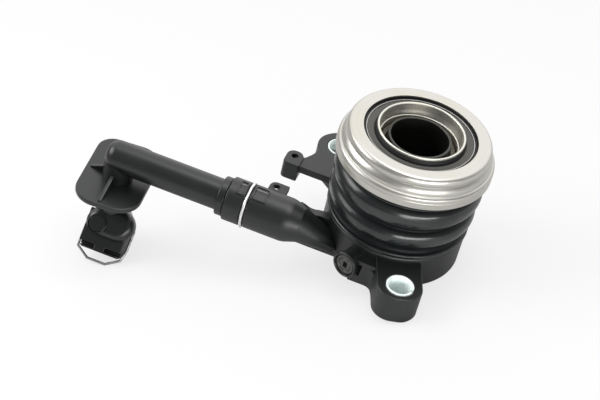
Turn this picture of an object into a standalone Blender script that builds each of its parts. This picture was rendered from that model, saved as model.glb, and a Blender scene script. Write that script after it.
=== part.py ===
"""Hydraulic clutch release bearing: slave cylinder, thrust bearing and inlet pipe.

The part stands on its mounting face, the plane z = 0, with the bearing axis on +Z.
The inlet pipe runs off along -X. All sizes are in metres.
"""
import math

import bmesh
import bpy
from mathutils import Matrix, Vector

# Fits
SEAT_GAP = 0.0003
SLIDE_GAP = 0.0003
STOP_GAP = 0.0007

# Facets of a full turn
ROUND_STEPS = 26
BARREL_STEPS = 20
SMALL_STEPS = 16

# Guide sleeve
SLEEVE_BORE_R = 0.0125
SLEEVE_WALL = 0.0012
SLEEVE_TOP_Z = 0.0575
SLEEVE_FLANGE_W = 0.0030
SLEEVE_FLANGE_T = 0.0015
SLEEVE_R = SLEEVE_BORE_R + SLEEVE_WALL
SLEEVE_FLANGE_R = SLEEVE_R + SLEEVE_FLANGE_W

# Housing body, whose radii follow each other from the sleeve outwards
BASE_H = 0.0160
BASE_EDGE = 0.0008
FLOOR_Z = 0.0050
ANNULUS_W = 0.0063
CYLINDER_R = SLEEVE_R + ANNULUS_W
CYLINDER_WALL = 0.0025
CYLINDER_TOP_Z = 0.0300
SPRING_ROOM = 0.0050
NECK_R = CYLINDER_R + CYLINDER_WALL + SPRING_ROOM
NECK_H = 0.0030
BASE_STEP = 0.0035
BASE_R = NECK_R + BASE_STEP

# Piston, its seal and the carrier that it pushes
STROKE = 0.0120
SEAL_H = 0.0035
SEAL_LIP_DEPTH = 0.0016
CARRIER_T = 0.0033
CARRIER_R = NECK_R
COLLAR_H = 0.0070
PISTON_R = CYLINDER_R - SLIDE_GAP
PISTON_BORE_R = SLEEVE_R + SLIDE_GAP
SEAL_Z = FLOOR_Z + STOP_GAP + STROKE
PISTON_Z = SEAL_Z + SEAL_H + SEAT_GAP
CARRIER_Z = CYLINDER_TOP_Z + STOP_GAP + STROKE
CARRIER_TOP_Z = CARRIER_Z + CARRIER_T

# Thrust ball bearing, whose radii follow each other from the sleeve outwards
BALL_COUNT = 12
BALL_R = 0.0035
RACE_GAP = 0.0003
RACE_SPAN = math.radians(45)
RACE_R = BALL_R + RACE_GAP
RUNNING_GAP = 0.0005
RING_BOTTOM_Z = CARRIER_TOP_Z + RUNNING_GAP
CAGE_ROOM = 0.0032
BALL_Z = RING_BOTTOM_Z + CAGE_ROOM + BALL_R
COLLAR_ROOM = 0.0030
INNER_RING_BORE_R = SLEEVE_R + COLLAR_ROOM
INNER_CUP_STEP = 0.0013
INNER_CUP_R = INNER_RING_BORE_R + INNER_CUP_STEP
INNER_CUP_WALL = 0.0010
INNER_CUP_H = 0.0057
INNER_CUP_CHAMFER = 0.0010
INNER_RIM_RISE = 0.0012
INNER_RING_WALL = 0.0043
INNER_SHOULDER_R = INNER_RING_BORE_R + INNER_RING_WALL
RACE_DEPTH = 0.0024
PITCH_R = INNER_SHOULDER_R + RACE_DEPTH
FACE_STEP = 0.0012
FACE_BORE_R = PITCH_R + FACE_STEP
FACE_W = 0.0050
FACE_R = FACE_BORE_R + FACE_W
FACE_Z = 0.0600
CROWN_W = 0.0016
CROWN_R = FACE_R + CROWN_W
CROWN_H = 0.0046
CROWN_FOOT = 0.0015
SHOULDER_W = 0.0010
SHOULDER_R = CROWN_R + SHOULDER_W
SHOULDER_H = 0.0023
RIM_W = 0.0018
RIM_R = SHOULDER_R + RIM_W
RIM_H = 0.0050
SKIRT_STEP = 0.0046
SKIRT_R = PITCH_R + SKIRT_STEP

# Lands beside the races, as shares of a race's half height
INNER_TOP_LAND = 1.25
INNER_BOTTOM_LAND = 1.2
OUTER_LAND = 1.35

# Cage and seals of the bearing
CAGE_W = 0.0028
CAGE_R = PITCH_R - CAGE_W / 2
CAGE_WEB = 0.0013
CAGE_PRONG_H = 0.0014
SHELL_T = 0.0006
SHELL_H = 0.0020
SHELL_DROP = 0.0024
SHELL_W = 0.0031
LIP_T = 0.0006
REAR_SEAL_T = 0.0012

# Dust boot
BOOT_WALL = 0.0012
BOOT_BEAD_W = 0.0032
BOOT_BEAD_H = 0.0028
BOOT_GROOVE_STEP = 0.0017
BOOT_GROOVE_R = NECK_R + BOOT_GROOVE_STEP
BOOT_UPPER_BULGE = (0.0034, 0.0046)
BOOT_LOWER_BULGE = (0.0028, 0.0038)
BOOT_UPPER_Z = 0.0370
BOOT_LOWER_Z = 0.0257
BOOT_FOOT_W = 0.0035
BOOT_FOOT_H = 0.0015

# Preload spring
SPRING_WIRE_R = 0.0011
SPRING_GAP = 0.0016
SPRING_R = CYLINDER_R + CYLINDER_WALL + SPRING_GAP + SPRING_WIRE_R
SPRING_TURNS = 3.5
SPRING_POINTS = 11

# Fixing ears and their bushes
EAR_H = 0.0134
FRONT_EAR_STEP = 0.0136
FRONT_EAR_REACH = BASE_R + FRONT_EAR_STEP
FRONT_EAR_ANGLE = math.radians(-71.4)
FRONT_EAR_HALF = 0.0098
FRONT_EAR_HEAD = 0.0086
REAR_EAR_STEP = 0.0158
REAR_EAR_REACH = BASE_R + REAR_EAR_STEP
REAR_EAR_ANGLE = math.radians(139.8)
REAR_EAR_HALF = 0.0105
REAR_EAR_HEAD = 0.0105
EAR_SQUARENESS = 2.6
BUSH_R = 0.0060
BUSH_WALL = 0.0015
BUSH_PROUD = 0.0003

# Harness arm and post. The arm's edges stay inside the post's by the lap
ARM_T = 0.0038
ARM_FRONT_Y = 0.0075
ARM_ROOT_SHARE = 0.7
POST_X = -0.0520
POST_HALF = 0.0039
POST_DEPTH = 0.0100
POST_H = 0.0090
POST_PROUD = 0.0010
POST_LAP = 0.0015
POST_HOLE_R = 0.0015

# Inlet pipe and the barrel that takes it
PIPE_Y = -0.0256
PIPE_Z = 0.0105
SPIGOT_R = 0.0072
SPIGOT_LENGTH = 0.0190
PIPE_STEP = 0.0002
PIPE_R = SPIGOT_R - PIPE_STEP
PIPE_END_X = -0.1200
PIPE_DOME = 0.0060
PIPE_LEG_R = 0.0068
PIPE_BORE_R = 0.0020
BARREL_WALL = 0.00225
BARREL_R = SPIGOT_R + SLIDE_GAP + BARREL_WALL
BARREL_MOUTH_X = -0.0689
BARREL_LENGTH = 0.0298
BARREL_CONE = 0.0100
BARREL_CONE_SHOULDER = 0.0020
BARREL_CONE_STEP = 0.001365
BARREL_CONE_R = BARREL_R - BARREL_CONE_STEP
DUCT_R = 0.0052
COLLAR_STEP = 0.0015
COLLAR_R = SPIGOT_R + COLLAR_STEP
COLLAR_T = 0.0033
O_RING_R = 0.0009
O_RING_INSET = 0.0140
O_RING_X = BARREL_MOUTH_X + O_RING_INSET
CHANNEL_R = 0.0020
CLIP_INSET = 0.0090
CLIP_X = BARREL_MOUTH_X + CLIP_INSET
CLIP_WIRE_R = 0.00085
CLIP_SLOT_R = 0.0012
CLIP_GROOVE_DEPTH = 0.0011
CLIP_END_ANGLE = math.radians(40)
KEY_HALF = 0.0041
KEY_TURN = math.radians(10)
KEY_RISE = 0.0004
KEY_SINK = 0.0013
KEY_INSET = 0.0036
INNER_KEY_LENGTH = 0.0066

# Web between the barrel and the base, with a crest that is set back from the floor
WEB_FLOOR_T = 0.0040
WEB_TOP_Z = 0.0130
WEB_BACK_Y = -0.0146
WEB_FRONT_Y = -0.0259
CREST_BACK = 0.0012
CREST_FRONT = 0.0040
CREST_LEAD = 0.0010

# Tab on the barrel
TAB_INSET = 0.0182
TAB_X = BARREL_MOUTH_X + TAB_INSET
TAB_HALF = 0.0042
TAB_REACH = 0.0146
TAB_T = 0.0025
TAB_DROP = 0.0042
TAB_CORNER_R = 0.0030
TAB_HOLE_R = 0.0015
TAB_HOLE_SHIFT = (0.0010, 0.0002)

# Plugged cross drilling
BOSS_ANGLE = math.radians(247)
BOSS_R = 0.0060
BOSS_FACE = Vector((-0.0115, -0.0375, 0.0083))
BOSS_LENGTH = 0.0139
BOSS_WALL_SETBACK = 0.0025
PLUG_R = 0.0045
PLUG_LENGTH = 0.0050
PLUG_KEY = 0.0024
PLUG_KEY_DEPTH = 0.0015
PLUG_SINK = 0.0005
DRILLING_R = 0.0016
DRILL_OVERSHOOT = 0.0020

# Sealing plate on the pipe, which spreads from the foot of its leg
PLATE_LEFT_W = 0.0150
PLATE_RIGHT_W = 0.0148
PLATE_NEAR_W = 0.0213
PLATE_FAR_W = 0.0241
PLATE_X = (PIPE_END_X - PLATE_LEFT_W, PIPE_END_X + PLATE_RIGHT_W)
PLATE_Y = (PIPE_Y - PLATE_NEAR_W, PIPE_Y + PLATE_FAR_W)
PLATE_CORNER_R = 0.0105
PLATE_FAR_CORNER_R = 0.0080
PLATE_TURN = math.radians(5)
PLATE_TOP_Z = -0.0005
PLATE_T = 0.0025
GUSSET_T = 0.0016
GUSSET_EDGE = 0.0004
GUSSET_STEP = 0.0010
GUSSET_NEAR_SETBACK = 0.0015
GUSSET_LEFT_SETBACK = 0.0020
STUB_R = 0.0049
STUB_LENGTH = 0.0115

# Line connector, tilted about X and placed from the pipe's leg and plate
TILT = math.radians(45)
CONNECTOR_SIDE = 0.0013
CONNECTOR_LEAD = 0.0097
CONNECTOR_DROP = 0.0167
CONNECTOR_AT = Vector((
    PIPE_END_X + CONNECTOR_SIDE, PIPE_Y - CONNECTOR_LEAD, PLATE_TOP_Z - PLATE_T - CONNECTOR_DROP))
CONNECTOR_R = 0.0073
CONNECTOR_LENGTH = 0.0180
CONNECTOR_HEAD = 0.0095
CONNECTOR_HEAD_AT = (0.0050, 0.0003)
CONNECTOR_EDGE = (0.0010, 0.0010)
CONNECTOR_STEP = 0.0015
CONNECTOR_TAIL_R = 0.0083
CONNECTOR_SHIFT = (-0.0002, 0.0018)
CONNECTOR_NECK_R = 0.0076
CROWN_BOSS_R = 0.0042
CROWN_BOSS_AT = (-0.0036, -0.0023)
CROWN_BOSS_RISE = 0.0010
BLOCK_HALF = 0.0098
BLOCK_REACH = 0.0140
BLOCK_BACK = 0.0040
BLOCK_DROP = 0.0040
BLOCK_H = 0.0100
BLOCK_CHAMFER = (0.0020, 0.0015)
SLIT_LEFT_X = -0.0022
SLIT_RIGHT_X = 0.0028
SLIT_HALF = 0.0008
SLIT_INSET = 0.0018
SLIT_BELOW = 0.0050
SLIT_OVERSHOOT = 0.0010
SOCKET_R = 0.0062
SOCKET_DEPTH = 0.0120
LINE_WIRE_R = 0.0007
LINE_CLIP_HALF = 0.0103
LINE_CLIP_BOW = 0.0180
LINE_CLIP_FLAT = 0.0043
LINE_CLIP_CHAMFER = 0.0038
LINE_CLIP_SPLAY = (0.0012, 0.0052)
LINE_CLIP_TAILS = (0.0050, 0.0005)
LINE_CLIP_DROP = 0.0085

COLLECTION_NAME = "clutch_release_bearing"
CUTTER_COLLECTION_NAME = "cutters"


def empty_scene():
    """Remove what a new file holds."""
    for obj in list(bpy.data.objects):
        bpy.data.objects.remove(obj, do_unlink=True)


def new_collection(name):
    collection = bpy.data.collections.new(name)
    bpy.context.scene.collection.children.link(collection)
    return collection


def make_material(name, colour, roughness, metallic):
    material = bpy.data.materials.new(name)
    material.use_nodes = True
    shader = material.node_tree.nodes["Principled BSDF"]
    shader.inputs["Base Color"].default_value = (*colour, 1.0)
    shader.inputs["Roughness"].default_value = roughness
    shader.inputs["Metallic"].default_value = metallic
    material.diffuse_color = (*colour, 1.0)
    return material


def add_object(name, mesh, collection, look=None):
    """Put a mesh or a curve in the scene under the given name."""
    obj = bpy.data.objects.new(name, mesh)
    collection.objects.link(obj)
    if look is not None:
        mesh.materials.append(make_material(name, *look))
    return obj


def smooth(mesh):
    mesh.shade_smooth()
    mesh.set_sharp_from_angle(angle=math.radians(35))


def arc(centre_r, centre_z, radius_r, radius_z, start, end, steps):
    """Points on an elliptical arc in a turned profile, with angles in radians."""
    points = []
    for step in range(steps + 1):
        angle = start + (end - start) * step / steps
        points.append((centre_r + radius_r * math.cos(angle), centre_z + radius_z * math.sin(angle)))
    return points


def turned(name, profile, steps, collection, look=None, closed=True):
    """Turn a profile of (radius, height) about Z. It runs down its outer side."""
    mesh = bpy.data.meshes.new(name)
    vertices = [(radius, 0.0, height) for radius, height in profile]
    edges = [(index, index + 1) for index in range(len(profile) - 1)]
    if closed:
        edges.append((len(profile) - 1, 0))
    mesh.from_pydata(vertices, edges, [])
    obj = add_object(name, mesh, collection, look)
    screw = obj.modifiers.new("turn", "SCREW")
    screw.axis = "Z"
    screw.angle = math.tau
    screw.steps = steps
    screw.render_steps = steps
    screw.use_merge_vertices = True
    screw.merge_threshold = 0.00001
    screw.use_smooth_shade = True
    return obj


def cylinder(name, radius, length, place, collection, steps=BARREL_STEPS, look=None):
    """A closed cylinder whose base centre and axis are set by the matrix."""
    mesh = bpy.data.meshes.new(name)
    shape = bmesh.new()
    bmesh.ops.create_cone(
        shape, cap_ends=True, segments=steps, radius1=radius, radius2=radius, depth=length,
        matrix=Matrix.Translation((0, 0, length / 2)))
    shape.to_mesh(mesh)
    shape.free()
    smooth(mesh)
    obj = add_object(name, mesh, collection, look)
    obj.matrix_world = place
    return obj


def box(name, low, high, collection, place=None):
    """A closed box between two corners."""
    low = Vector(low)
    high = Vector(high)
    size = high - low
    mesh = bpy.data.meshes.new(name)
    shape = bmesh.new()
    bmesh.ops.create_cube(
        shape, size=1.0, matrix=Matrix.Translation((low + high) / 2) @ Matrix.Diagonal((*size, 1.0)))
    shape.to_mesh(mesh)
    shape.free()
    obj = add_object(name, mesh, collection)
    if place is not None:
        obj.matrix_world = place
    return obj


def mesh_from_curve(name, curve_object, collection, look=None):
    """Turn a curve object into a closed mesh object in the same place."""
    graph = bpy.context.evaluated_depsgraph_get()
    mesh = bpy.data.meshes.new_from_object(curve_object.evaluated_get(graph))
    mesh.name = name
    shape = bmesh.new()
    shape.from_mesh(mesh)
    bmesh.ops.remove_doubles(shape, verts=shape.verts, dist=0.00001)
    shape.to_mesh(mesh)
    shape.free()
    smooth(mesh)
    place = curve_object.matrix_world.copy()
    bpy.data.objects.remove(curve_object, do_unlink=True)
    mesh.materials.clear()
    obj = add_object(name, mesh, collection, look)
    obj.matrix_world = place
    return obj


def flat_piece(name, outline, bottom, top, collection, place=None):
    """A flat outline in X and Y, extruded between two heights."""
    curve = bpy.data.curves.new(name + "_outline", "CURVE")
    curve.dimensions = "2D"
    curve.fill_mode = "BOTH"
    curve.extrude = (top - bottom) / 2
    spline = curve.splines.new("POLY")
    spline.points.add(len(outline) - 1)
    for point, (x, y) in zip(spline.points, outline):
        point.co = (x, y, 0.0, 1.0)
    spline.use_cyclic_u = True
    source = add_object(name + "_outline", curve, collection)
    lift = Matrix.Translation((0, 0, (top + bottom) / 2))
    source.matrix_world = lift if place is None else place @ lift
    bpy.context.view_layer.update()
    return mesh_from_curve(name, source, collection)


def wire(name, points, radius, collection, look=None, resolution=2):
    """A round wire or tube along the points, with flat closed ends."""
    curve = bpy.data.curves.new(name + "_path", "CURVE")
    curve.dimensions = "3D"
    curve.bevel_depth = radius
    curve.bevel_resolution = resolution
    curve.use_fill_caps = True
    spline = curve.splines.new("POLY")
    spline.points.add(len(points) - 1)
    for point, place in zip(spline.points, points):
        point.co = (*place, 1.0)
    source = add_object(name + "_path", curve, collection)
    bpy.context.view_layer.update()
    return mesh_from_curve(name, source, collection, look)


def hide_tool(obj):
    obj.hide_render = True
    obj.display_type = "WIRE"


def combine(obj, tool, operation, solver):
    """Join a tool to a solid, or cut the solid with it."""
    modifier = obj.modifiers.new(tool.name, "BOOLEAN")
    modifier.operation = operation
    modifier.solver = solver
    modifier.object = tool
    hide_tool(tool)


def join(obj, tool, solver="EXACT"):
    combine(obj, tool, "UNION", solver)


def cut(obj, tool, solver="EXACT"):
    combine(obj, tool, "DIFFERENCE", solver)


def rounded_corner(x, y, radius, start, steps=4):
    """Points round a corner centre, over a quarter turn."""
    points = []
    for step in range(steps + 1):
        angle = start + math.pi / 2 * step / steps
        points.append((x + radius * math.cos(angle), y + radius * math.sin(angle)))
    return points


def along_x(x, y, z):
    """A frame whose own +Z points along +X, at the given place."""
    return Matrix.Translation((x, y, z)) @ Matrix.Rotation(math.pi / 2, 4, "Y")


def ear_centre(reach, angle):
    return Vector((reach * math.cos(angle), reach * math.sin(angle), 0.0))


def ear_outline(reach, half, head):
    """Outline of an ear that points along +X, with a squarish round head."""
    root = CYLINDER_R + CYLINDER_WALL / 2
    points = [(root, -half)]
    steps = 10
    for step in range(steps + 1):
        angle = -math.pi / 2 + math.pi * step / steps
        across = math.copysign(abs(math.sin(angle)) ** (2 / EAR_SQUARENESS), math.sin(angle))
        out = abs(math.cos(angle)) ** (2 / EAR_SQUARENESS)
        points.append((reach + head * out, half * across))
    points.append((root, half))
    return points


def housing_profile():
    flange_r = SLEEVE_FLANGE_R + SEAT_GAP
    flange_top = SLEEVE_FLANGE_T + SEAT_GAP
    bore_r = SLEEVE_R + SEAT_GAP
    wall_r = CYLINDER_R + CYLINDER_WALL
    neck_top = BASE_H + NECK_H
    return [
        (wall_r, CYLINDER_TOP_Z), (wall_r, neck_top), (NECK_R, neck_top), (NECK_R, BASE_H),
        (BASE_R - BASE_EDGE, BASE_H), (BASE_R, BASE_H - BASE_EDGE), (BASE_R, 0.0),
        (flange_r, 0.0), (flange_r, flange_top), (bore_r, flange_top), (bore_r, FLOOR_Z),
        (CYLINDER_R, FLOOR_Z), (CYLINDER_R, CYLINDER_TOP_Z)]


def add_ears(body, tools):
    """Two fixing ears, each with a bored seat for its bush."""
    ears = (
        ("front_ear", FRONT_EAR_REACH, FRONT_EAR_ANGLE, FRONT_EAR_HALF, FRONT_EAR_HEAD),
        ("rear_ear", REAR_EAR_REACH, REAR_EAR_ANGLE, REAR_EAR_HALF, REAR_EAR_HEAD))
    for name, reach, angle, half, head in ears:
        turn = Matrix.Rotation(angle, 4, "Z")
        join(body, flat_piece(name, ear_outline(reach, half, head), 0.0, EAR_H, tools, turn))


def bore_ears(body, tools):
    ears = (
        ("front_bore", FRONT_EAR_REACH, FRONT_EAR_ANGLE),
        ("rear_bore", REAR_EAR_REACH, REAR_EAR_ANGLE))
    for name, reach, angle in ears:
        place = Matrix.Translation(ear_centre(reach, angle) - Vector((0, 0, EAR_H / 2)))
        cut(body, cylinder(name, BUSH_R + SEAT_GAP, EAR_H * 2, place, tools, SMALL_STEPS))


def add_harness_arm(body, tools):
    """A flat arm off the rear ear, with a D-shaped post at its end."""
    rear = ear_centre(REAR_EAR_REACH, REAR_EAR_ANGLE)
    root_x = rear.x * ARM_ROOT_SHARE
    front_y = ARM_FRONT_Y - POST_LAP
    post_back_y = front_y + POST_DEPTH
    arm_back_y = post_back_y - POST_LAP
    arm = [
        (POST_X, ARM_FRONT_Y), (root_x, ARM_FRONT_Y), (root_x, rear.y),
        (rear.x - REAR_EAR_HALF * 0.8, rear.y - REAR_EAR_HALF * 0.4),
        (rear.x - REAR_EAR_HALF * 0.9, rear.y - REAR_EAR_HALF),
        (POST_X + POST_HALF, arm_back_y), (POST_X, arm_back_y)]
    join(body, flat_piece("harness_arm", arm, EAR_H - ARM_T, EAR_H, tools))
    back_centre_y = post_back_y - POST_HALF
    outline = [(POST_X - POST_HALF, front_y), (POST_X + POST_HALF, front_y)]
    steps = 8
    for step in range(steps + 1):
        angle = math.pi * step / steps
        outline.append((POST_X + POST_HALF * math.cos(angle), back_centre_y + POST_HALF * math.sin(angle)))
    post_top = EAR_H + POST_PROUD
    join(body, flat_piece("harness_post", outline, post_top - POST_H, post_top, tools))
    hole_place = Matrix.Translation((POST_X, back_centre_y, post_top - POST_H * 1.5))
    cut(body, cylinder("post_hole", POST_HOLE_R, POST_H * 2, hole_place, tools, 12))


def barrel_end_x():
    return BARREL_MOUTH_X + BARREL_LENGTH


def add_barrel(body, tools):
    """The bored barrel with its clip groove, its conical end and the duct into the body."""
    cone_end = BARREL_LENGTH + BARREL_CONE
    duct_end = -BARREL_MOUTH_X - CYLINDER_R * 0.6
    bore_r = SPIGOT_R + SLIDE_GAP
    bore_depth = SPIGOT_LENGTH + SEAT_GAP * 4
    groove = CLIP_X - BARREL_MOUTH_X
    groove_half = CLIP_WIRE_R + SEAT_GAP
    groove_r = BARREL_R - CLIP_GROOVE_DEPTH
    profile = [
        (0.0, duct_end), (DUCT_R, duct_end), (DUCT_R, cone_end),
        (BARREL_CONE_R, BARREL_LENGTH + BARREL_CONE_SHOULDER), (BARREL_R, BARREL_LENGTH - BARREL_CONE_SHOULDER),
        (BARREL_R, groove + groove_half), (groove_r, groove + groove_half),
        (groove_r, groove - groove_half), (BARREL_R, groove - groove_half),
        (BARREL_R, BASE_EDGE), (BARREL_R - BASE_EDGE, 0.0), (bore_r, 0.0), (bore_r, bore_depth), (0.0, bore_depth)]
    barrel = turned("barrel", profile, BARREL_STEPS, tools, closed=False)
    barrel.matrix_world = along_x(BARREL_MOUTH_X, PIPE_Y, PIPE_Z)
    join(body, barrel)
    start = barrel_end_x()
    root = -CYLINDER_R
    floor = [(start, WEB_BACK_Y), (start, WEB_FRONT_Y), (BOSS_FACE.x, WEB_FRONT_Y), (BOSS_FACE.x, WEB_BACK_Y)]
    join(body, flat_piece("web_floor", floor, 0.0, WEB_FLOOR_T, tools))
    crest_back_y = WEB_BACK_Y + CREST_BACK
    crest = [
        (start - BASE_EDGE, crest_back_y), (start - BASE_EDGE, PIPE_Y + CREST_LEAD),
        (start + BARREL_CONE, PIPE_Y + CREST_FRONT), (root, WEB_FRONT_Y + CREST_FRONT), (root, crest_back_y)]
    join(body, flat_piece("web_crest", crest, WEB_FLOOR_T / 2, WEB_TOP_Z, tools))


def add_barrel_details(body, tools):
    """Two key pads, turned a little round the barrel, and the drilled tab behind it."""
    margin = CLIP_WIRE_R + SEAT_GAP * 2
    spans = (
        ("outer_key", BARREL_MOUTH_X + KEY_INSET, CLIP_X - margin),
        ("inner_key", CLIP_X + margin, CLIP_X + margin + INNER_KEY_LENGTH))
    place = Matrix.Translation((0.0, PIPE_Y, PIPE_Z)) @ Matrix.Rotation(KEY_TURN, 4, "X")
    for name, start, end in spans:
        low = (start, -KEY_HALF, BARREL_R - KEY_SINK)
        high = (end, KEY_HALF, BARREL_R + KEY_RISE)
        join(body, box(name, low, high, tools, place))
    tab_y = PIPE_Y + TAB_REACH
    corner = TAB_CORNER_R
    left = TAB_X - TAB_HALF
    right = TAB_X + TAB_HALF
    root_y = PIPE_Y + SPIGOT_R + SLIDE_GAP * 2
    outline = [(left, root_y), (right, root_y), (right, tab_y)]
    outline += rounded_corner(left + corner, tab_y - corner, corner, math.pi / 2, 3)
    tab_top = PIPE_Z + BARREL_R - TAB_DROP
    join(body, flat_piece("barrel_tab", outline, tab_top - TAB_T, tab_top, tools))
    shift_x, shift_y = TAB_HOLE_SHIFT
    hole_place = Matrix.Translation((TAB_X - shift_x, tab_y - corner - shift_y, tab_top - TAB_T * 2))
    cut(body, cylinder("tab_hole", TAB_HOLE_R, TAB_T * 3, hole_place, tools, 12))


def boss_frame():
    """A frame at the boss face, with +Z pointing out of the housing."""
    out = Vector((math.cos(BOSS_ANGLE), math.sin(BOSS_ANGLE), 0.0))
    return Matrix.Translation(BOSS_FACE) @ out.to_track_quat("Z", "Y").to_matrix().to_4x4()


def add_plug_boss(body, tools):
    """The boss over the cross drilling, and the wall from it to the front ear."""
    place = boss_frame() @ Matrix.Translation((0, 0, -BOSS_LENGTH))
    join(body, cylinder("plug_boss", BOSS_R, BOSS_LENGTH, place, tools))
    front = ear_centre(FRONT_EAR_REACH, FRONT_EAR_ANGLE)
    low = (BOSS_FACE.x + BOSS_R * 0.5, BOSS_FACE.y + BOSS_WALL_SETBACK, 0.0)
    high = (front.x - FRONT_EAR_HALF * 0.5, -BASE_R * 0.7, EAR_H - BASE_EDGE)
    join(body, box("boss_wall", low, high, tools))


def bore_housing(body, tools):
    """The fluid drillings, the plug seat and the holes for the clip's ends."""
    channel_start = BARREL_MOUTH_X + SPIGOT_LENGTH - SEAT_GAP
    channel_length = BOSS_FACE.x - channel_start + BOSS_R + DRILLING_R * 2
    channel_place = along_x(channel_start, PIPE_Y, PIPE_Z)
    cut(body, cylinder("channel", CHANNEL_R, channel_length, channel_place, tools, 8))
    seat_depth = PLUG_SINK + PLUG_LENGTH + SEAT_GAP
    seat_place = boss_frame() @ Matrix.Translation((0, 0, -seat_depth))
    seat_length = seat_depth + DRILL_OVERSHOOT
    cut(body, cylinder("plug_seat", PLUG_R + SEAT_GAP, seat_length, seat_place, tools, SMALL_STEPS))
    reach = Vector((BOSS_FACE.x, BOSS_FACE.y, 0.0)).length - CYLINDER_R * 0.7
    drilling_place = boss_frame() @ Matrix.Rotation(0.2, 4, "Z") @ Matrix.Translation((0, 0, -reach))
    drilling_length = reach - seat_depth + DRILL_OVERSHOOT / 2
    cut(body, cylinder("cross_drilling", DRILLING_R, drilling_length, drilling_place, tools, 8))
    for name, side in (("upper_clip_hole", 1), ("lower_clip_hole", -1)):
        turn = Matrix.Rotation(side * CLIP_END_ANGLE - math.pi / 2, 4, "X")
        place = Matrix.Translation((CLIP_X, PIPE_Y, PIPE_Z)) @ turn
        place = place @ Matrix.Translation((0, 0, SPIGOT_R * 0.6))
        cut(body, cylinder(name, CLIP_SLOT_R, BARREL_R, place, tools, 10))


def make_housing(parts, tools):
    body = turned("housing", housing_profile(), ROUND_STEPS, parts, ((0.035, 0.036, 0.038), 0.6, 0.0))
    add_ears(body, tools)
    add_harness_arm(body, tools)
    add_barrel(body, tools)
    add_barrel_details(body, tools)
    add_plug_boss(body, tools)
    bore_ears(body, tools)
    bore_housing(body, tools)


def make_sleeve(parts):
    profile = [
        (SLEEVE_R, SLEEVE_TOP_Z), (SLEEVE_R, SLEEVE_FLANGE_T), (SLEEVE_FLANGE_R, SLEEVE_FLANGE_T),
        (SLEEVE_FLANGE_R, 0.0), (SLEEVE_BORE_R, 0.0), (SLEEVE_BORE_R, SLEEVE_TOP_Z)]
    turned("guide_sleeve", profile, ROUND_STEPS, parts, ((0.22, 0.22, 0.21), 0.4, 0.9))


def make_bushes(parts):
    """Zinc plated bushes that carry the bolt load through the ears."""
    top = EAR_H + BUSH_PROUD
    profile = [(BUSH_R, top), (BUSH_R, 0.0), (BUSH_R - BUSH_WALL, 0.0), (BUSH_R - BUSH_WALL, top)]
    bushes = (
        ("front_ear_bush", FRONT_EAR_REACH, FRONT_EAR_ANGLE),
        ("rear_ear_bush", REAR_EAR_REACH, REAR_EAR_ANGLE))
    for name, reach, angle in bushes:
        bush = turned(name, profile, SMALL_STEPS, parts, ((0.72, 0.76, 0.78), 0.3, 1.0))
        bush.location = ear_centre(reach, angle)


def make_plug(parts, tools):
    place = boss_frame() @ Matrix.Translation((0, 0, -PLUG_SINK - PLUG_LENGTH))
    plug = cylinder("channel_plug", PLUG_R, PLUG_LENGTH, place, parts, 16, ((0.05, 0.05, 0.052), 0.5, 0.0))
    half = PLUG_KEY / 2
    low = (-half, -half, PLUG_LENGTH - PLUG_KEY_DEPTH)
    high = (half, half, PLUG_LENGTH * 1.5)
    cut(plug, box("plug_key", low, high, tools, place))


def make_piston(parts):
    top = CARRIER_Z - SEAT_GAP
    profile = [(PISTON_R, top), (PISTON_R, PISTON_Z), (PISTON_BORE_R, PISTON_Z), (PISTON_BORE_R, top)]
    turned("piston", profile, ROUND_STEPS, parts, ((0.30, 0.27, 0.16), 0.5, 0.0))
    middle = (PISTON_R + PISTON_BORE_R) / 2
    seal = [
        (PISTON_R, SEAL_Z + SEAL_H), (PISTON_R, SEAL_Z), (middle, SEAL_Z + SEAL_LIP_DEPTH),
        (PISTON_BORE_R, SEAL_Z), (PISTON_BORE_R, SEAL_Z + SEAL_H)]
    turned("piston_seal", seal, ROUND_STEPS, parts, ((0.02, 0.02, 0.02), 0.7, 0.0))


def make_carrier(parts):
    """The disc between piston and bearing, with the collar that centres the inner ring."""
    bore = SLEEVE_R + SLIDE_GAP + SEAT_GAP / 3
    collar_r = INNER_RING_BORE_R - SEAT_GAP
    collar_top = CARRIER_TOP_Z + COLLAR_H
    profile = [
        (collar_r, collar_top), (collar_r, CARRIER_TOP_Z), (CARRIER_R, CARRIER_TOP_Z),
        (CARRIER_R, CARRIER_Z), (bore, CARRIER_Z), (bore, collar_top)]
    turned("bearing_carrier", profile, ROUND_STEPS, parts, ((0.16, 0.15, 0.08), 0.5, 0.0))


def make_inner_ring(parts):
    bottom = CARRIER_TOP_Z + SEAT_GAP
    top = FACE_Z + INNER_RIM_RISE
    cup_r = INNER_CUP_R + INNER_CUP_WALL
    drop = RACE_R * math.sin(RACE_SPAN)
    race = arc(PITCH_R, BALL_Z, RACE_R, RACE_R, math.pi - RACE_SPAN, math.pi + RACE_SPAN, 3)
    profile = [(cup_r, top), (cup_r, BALL_Z + drop * INNER_TOP_LAND)] + race + [
        (INNER_SHOULDER_R, BALL_Z - drop * INNER_BOTTOM_LAND), (INNER_SHOULDER_R, bottom),
        (INNER_RING_BORE_R, bottom), (INNER_RING_BORE_R, top - INNER_CUP_H),
        (INNER_CUP_R, top - INNER_CUP_H + INNER_CUP_CHAMFER), (INNER_CUP_R, top)]
    turned("inner_ring", profile, ROUND_STEPS, parts, ((0.62, 0.61, 0.58), 0.25, 1.0))


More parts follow.
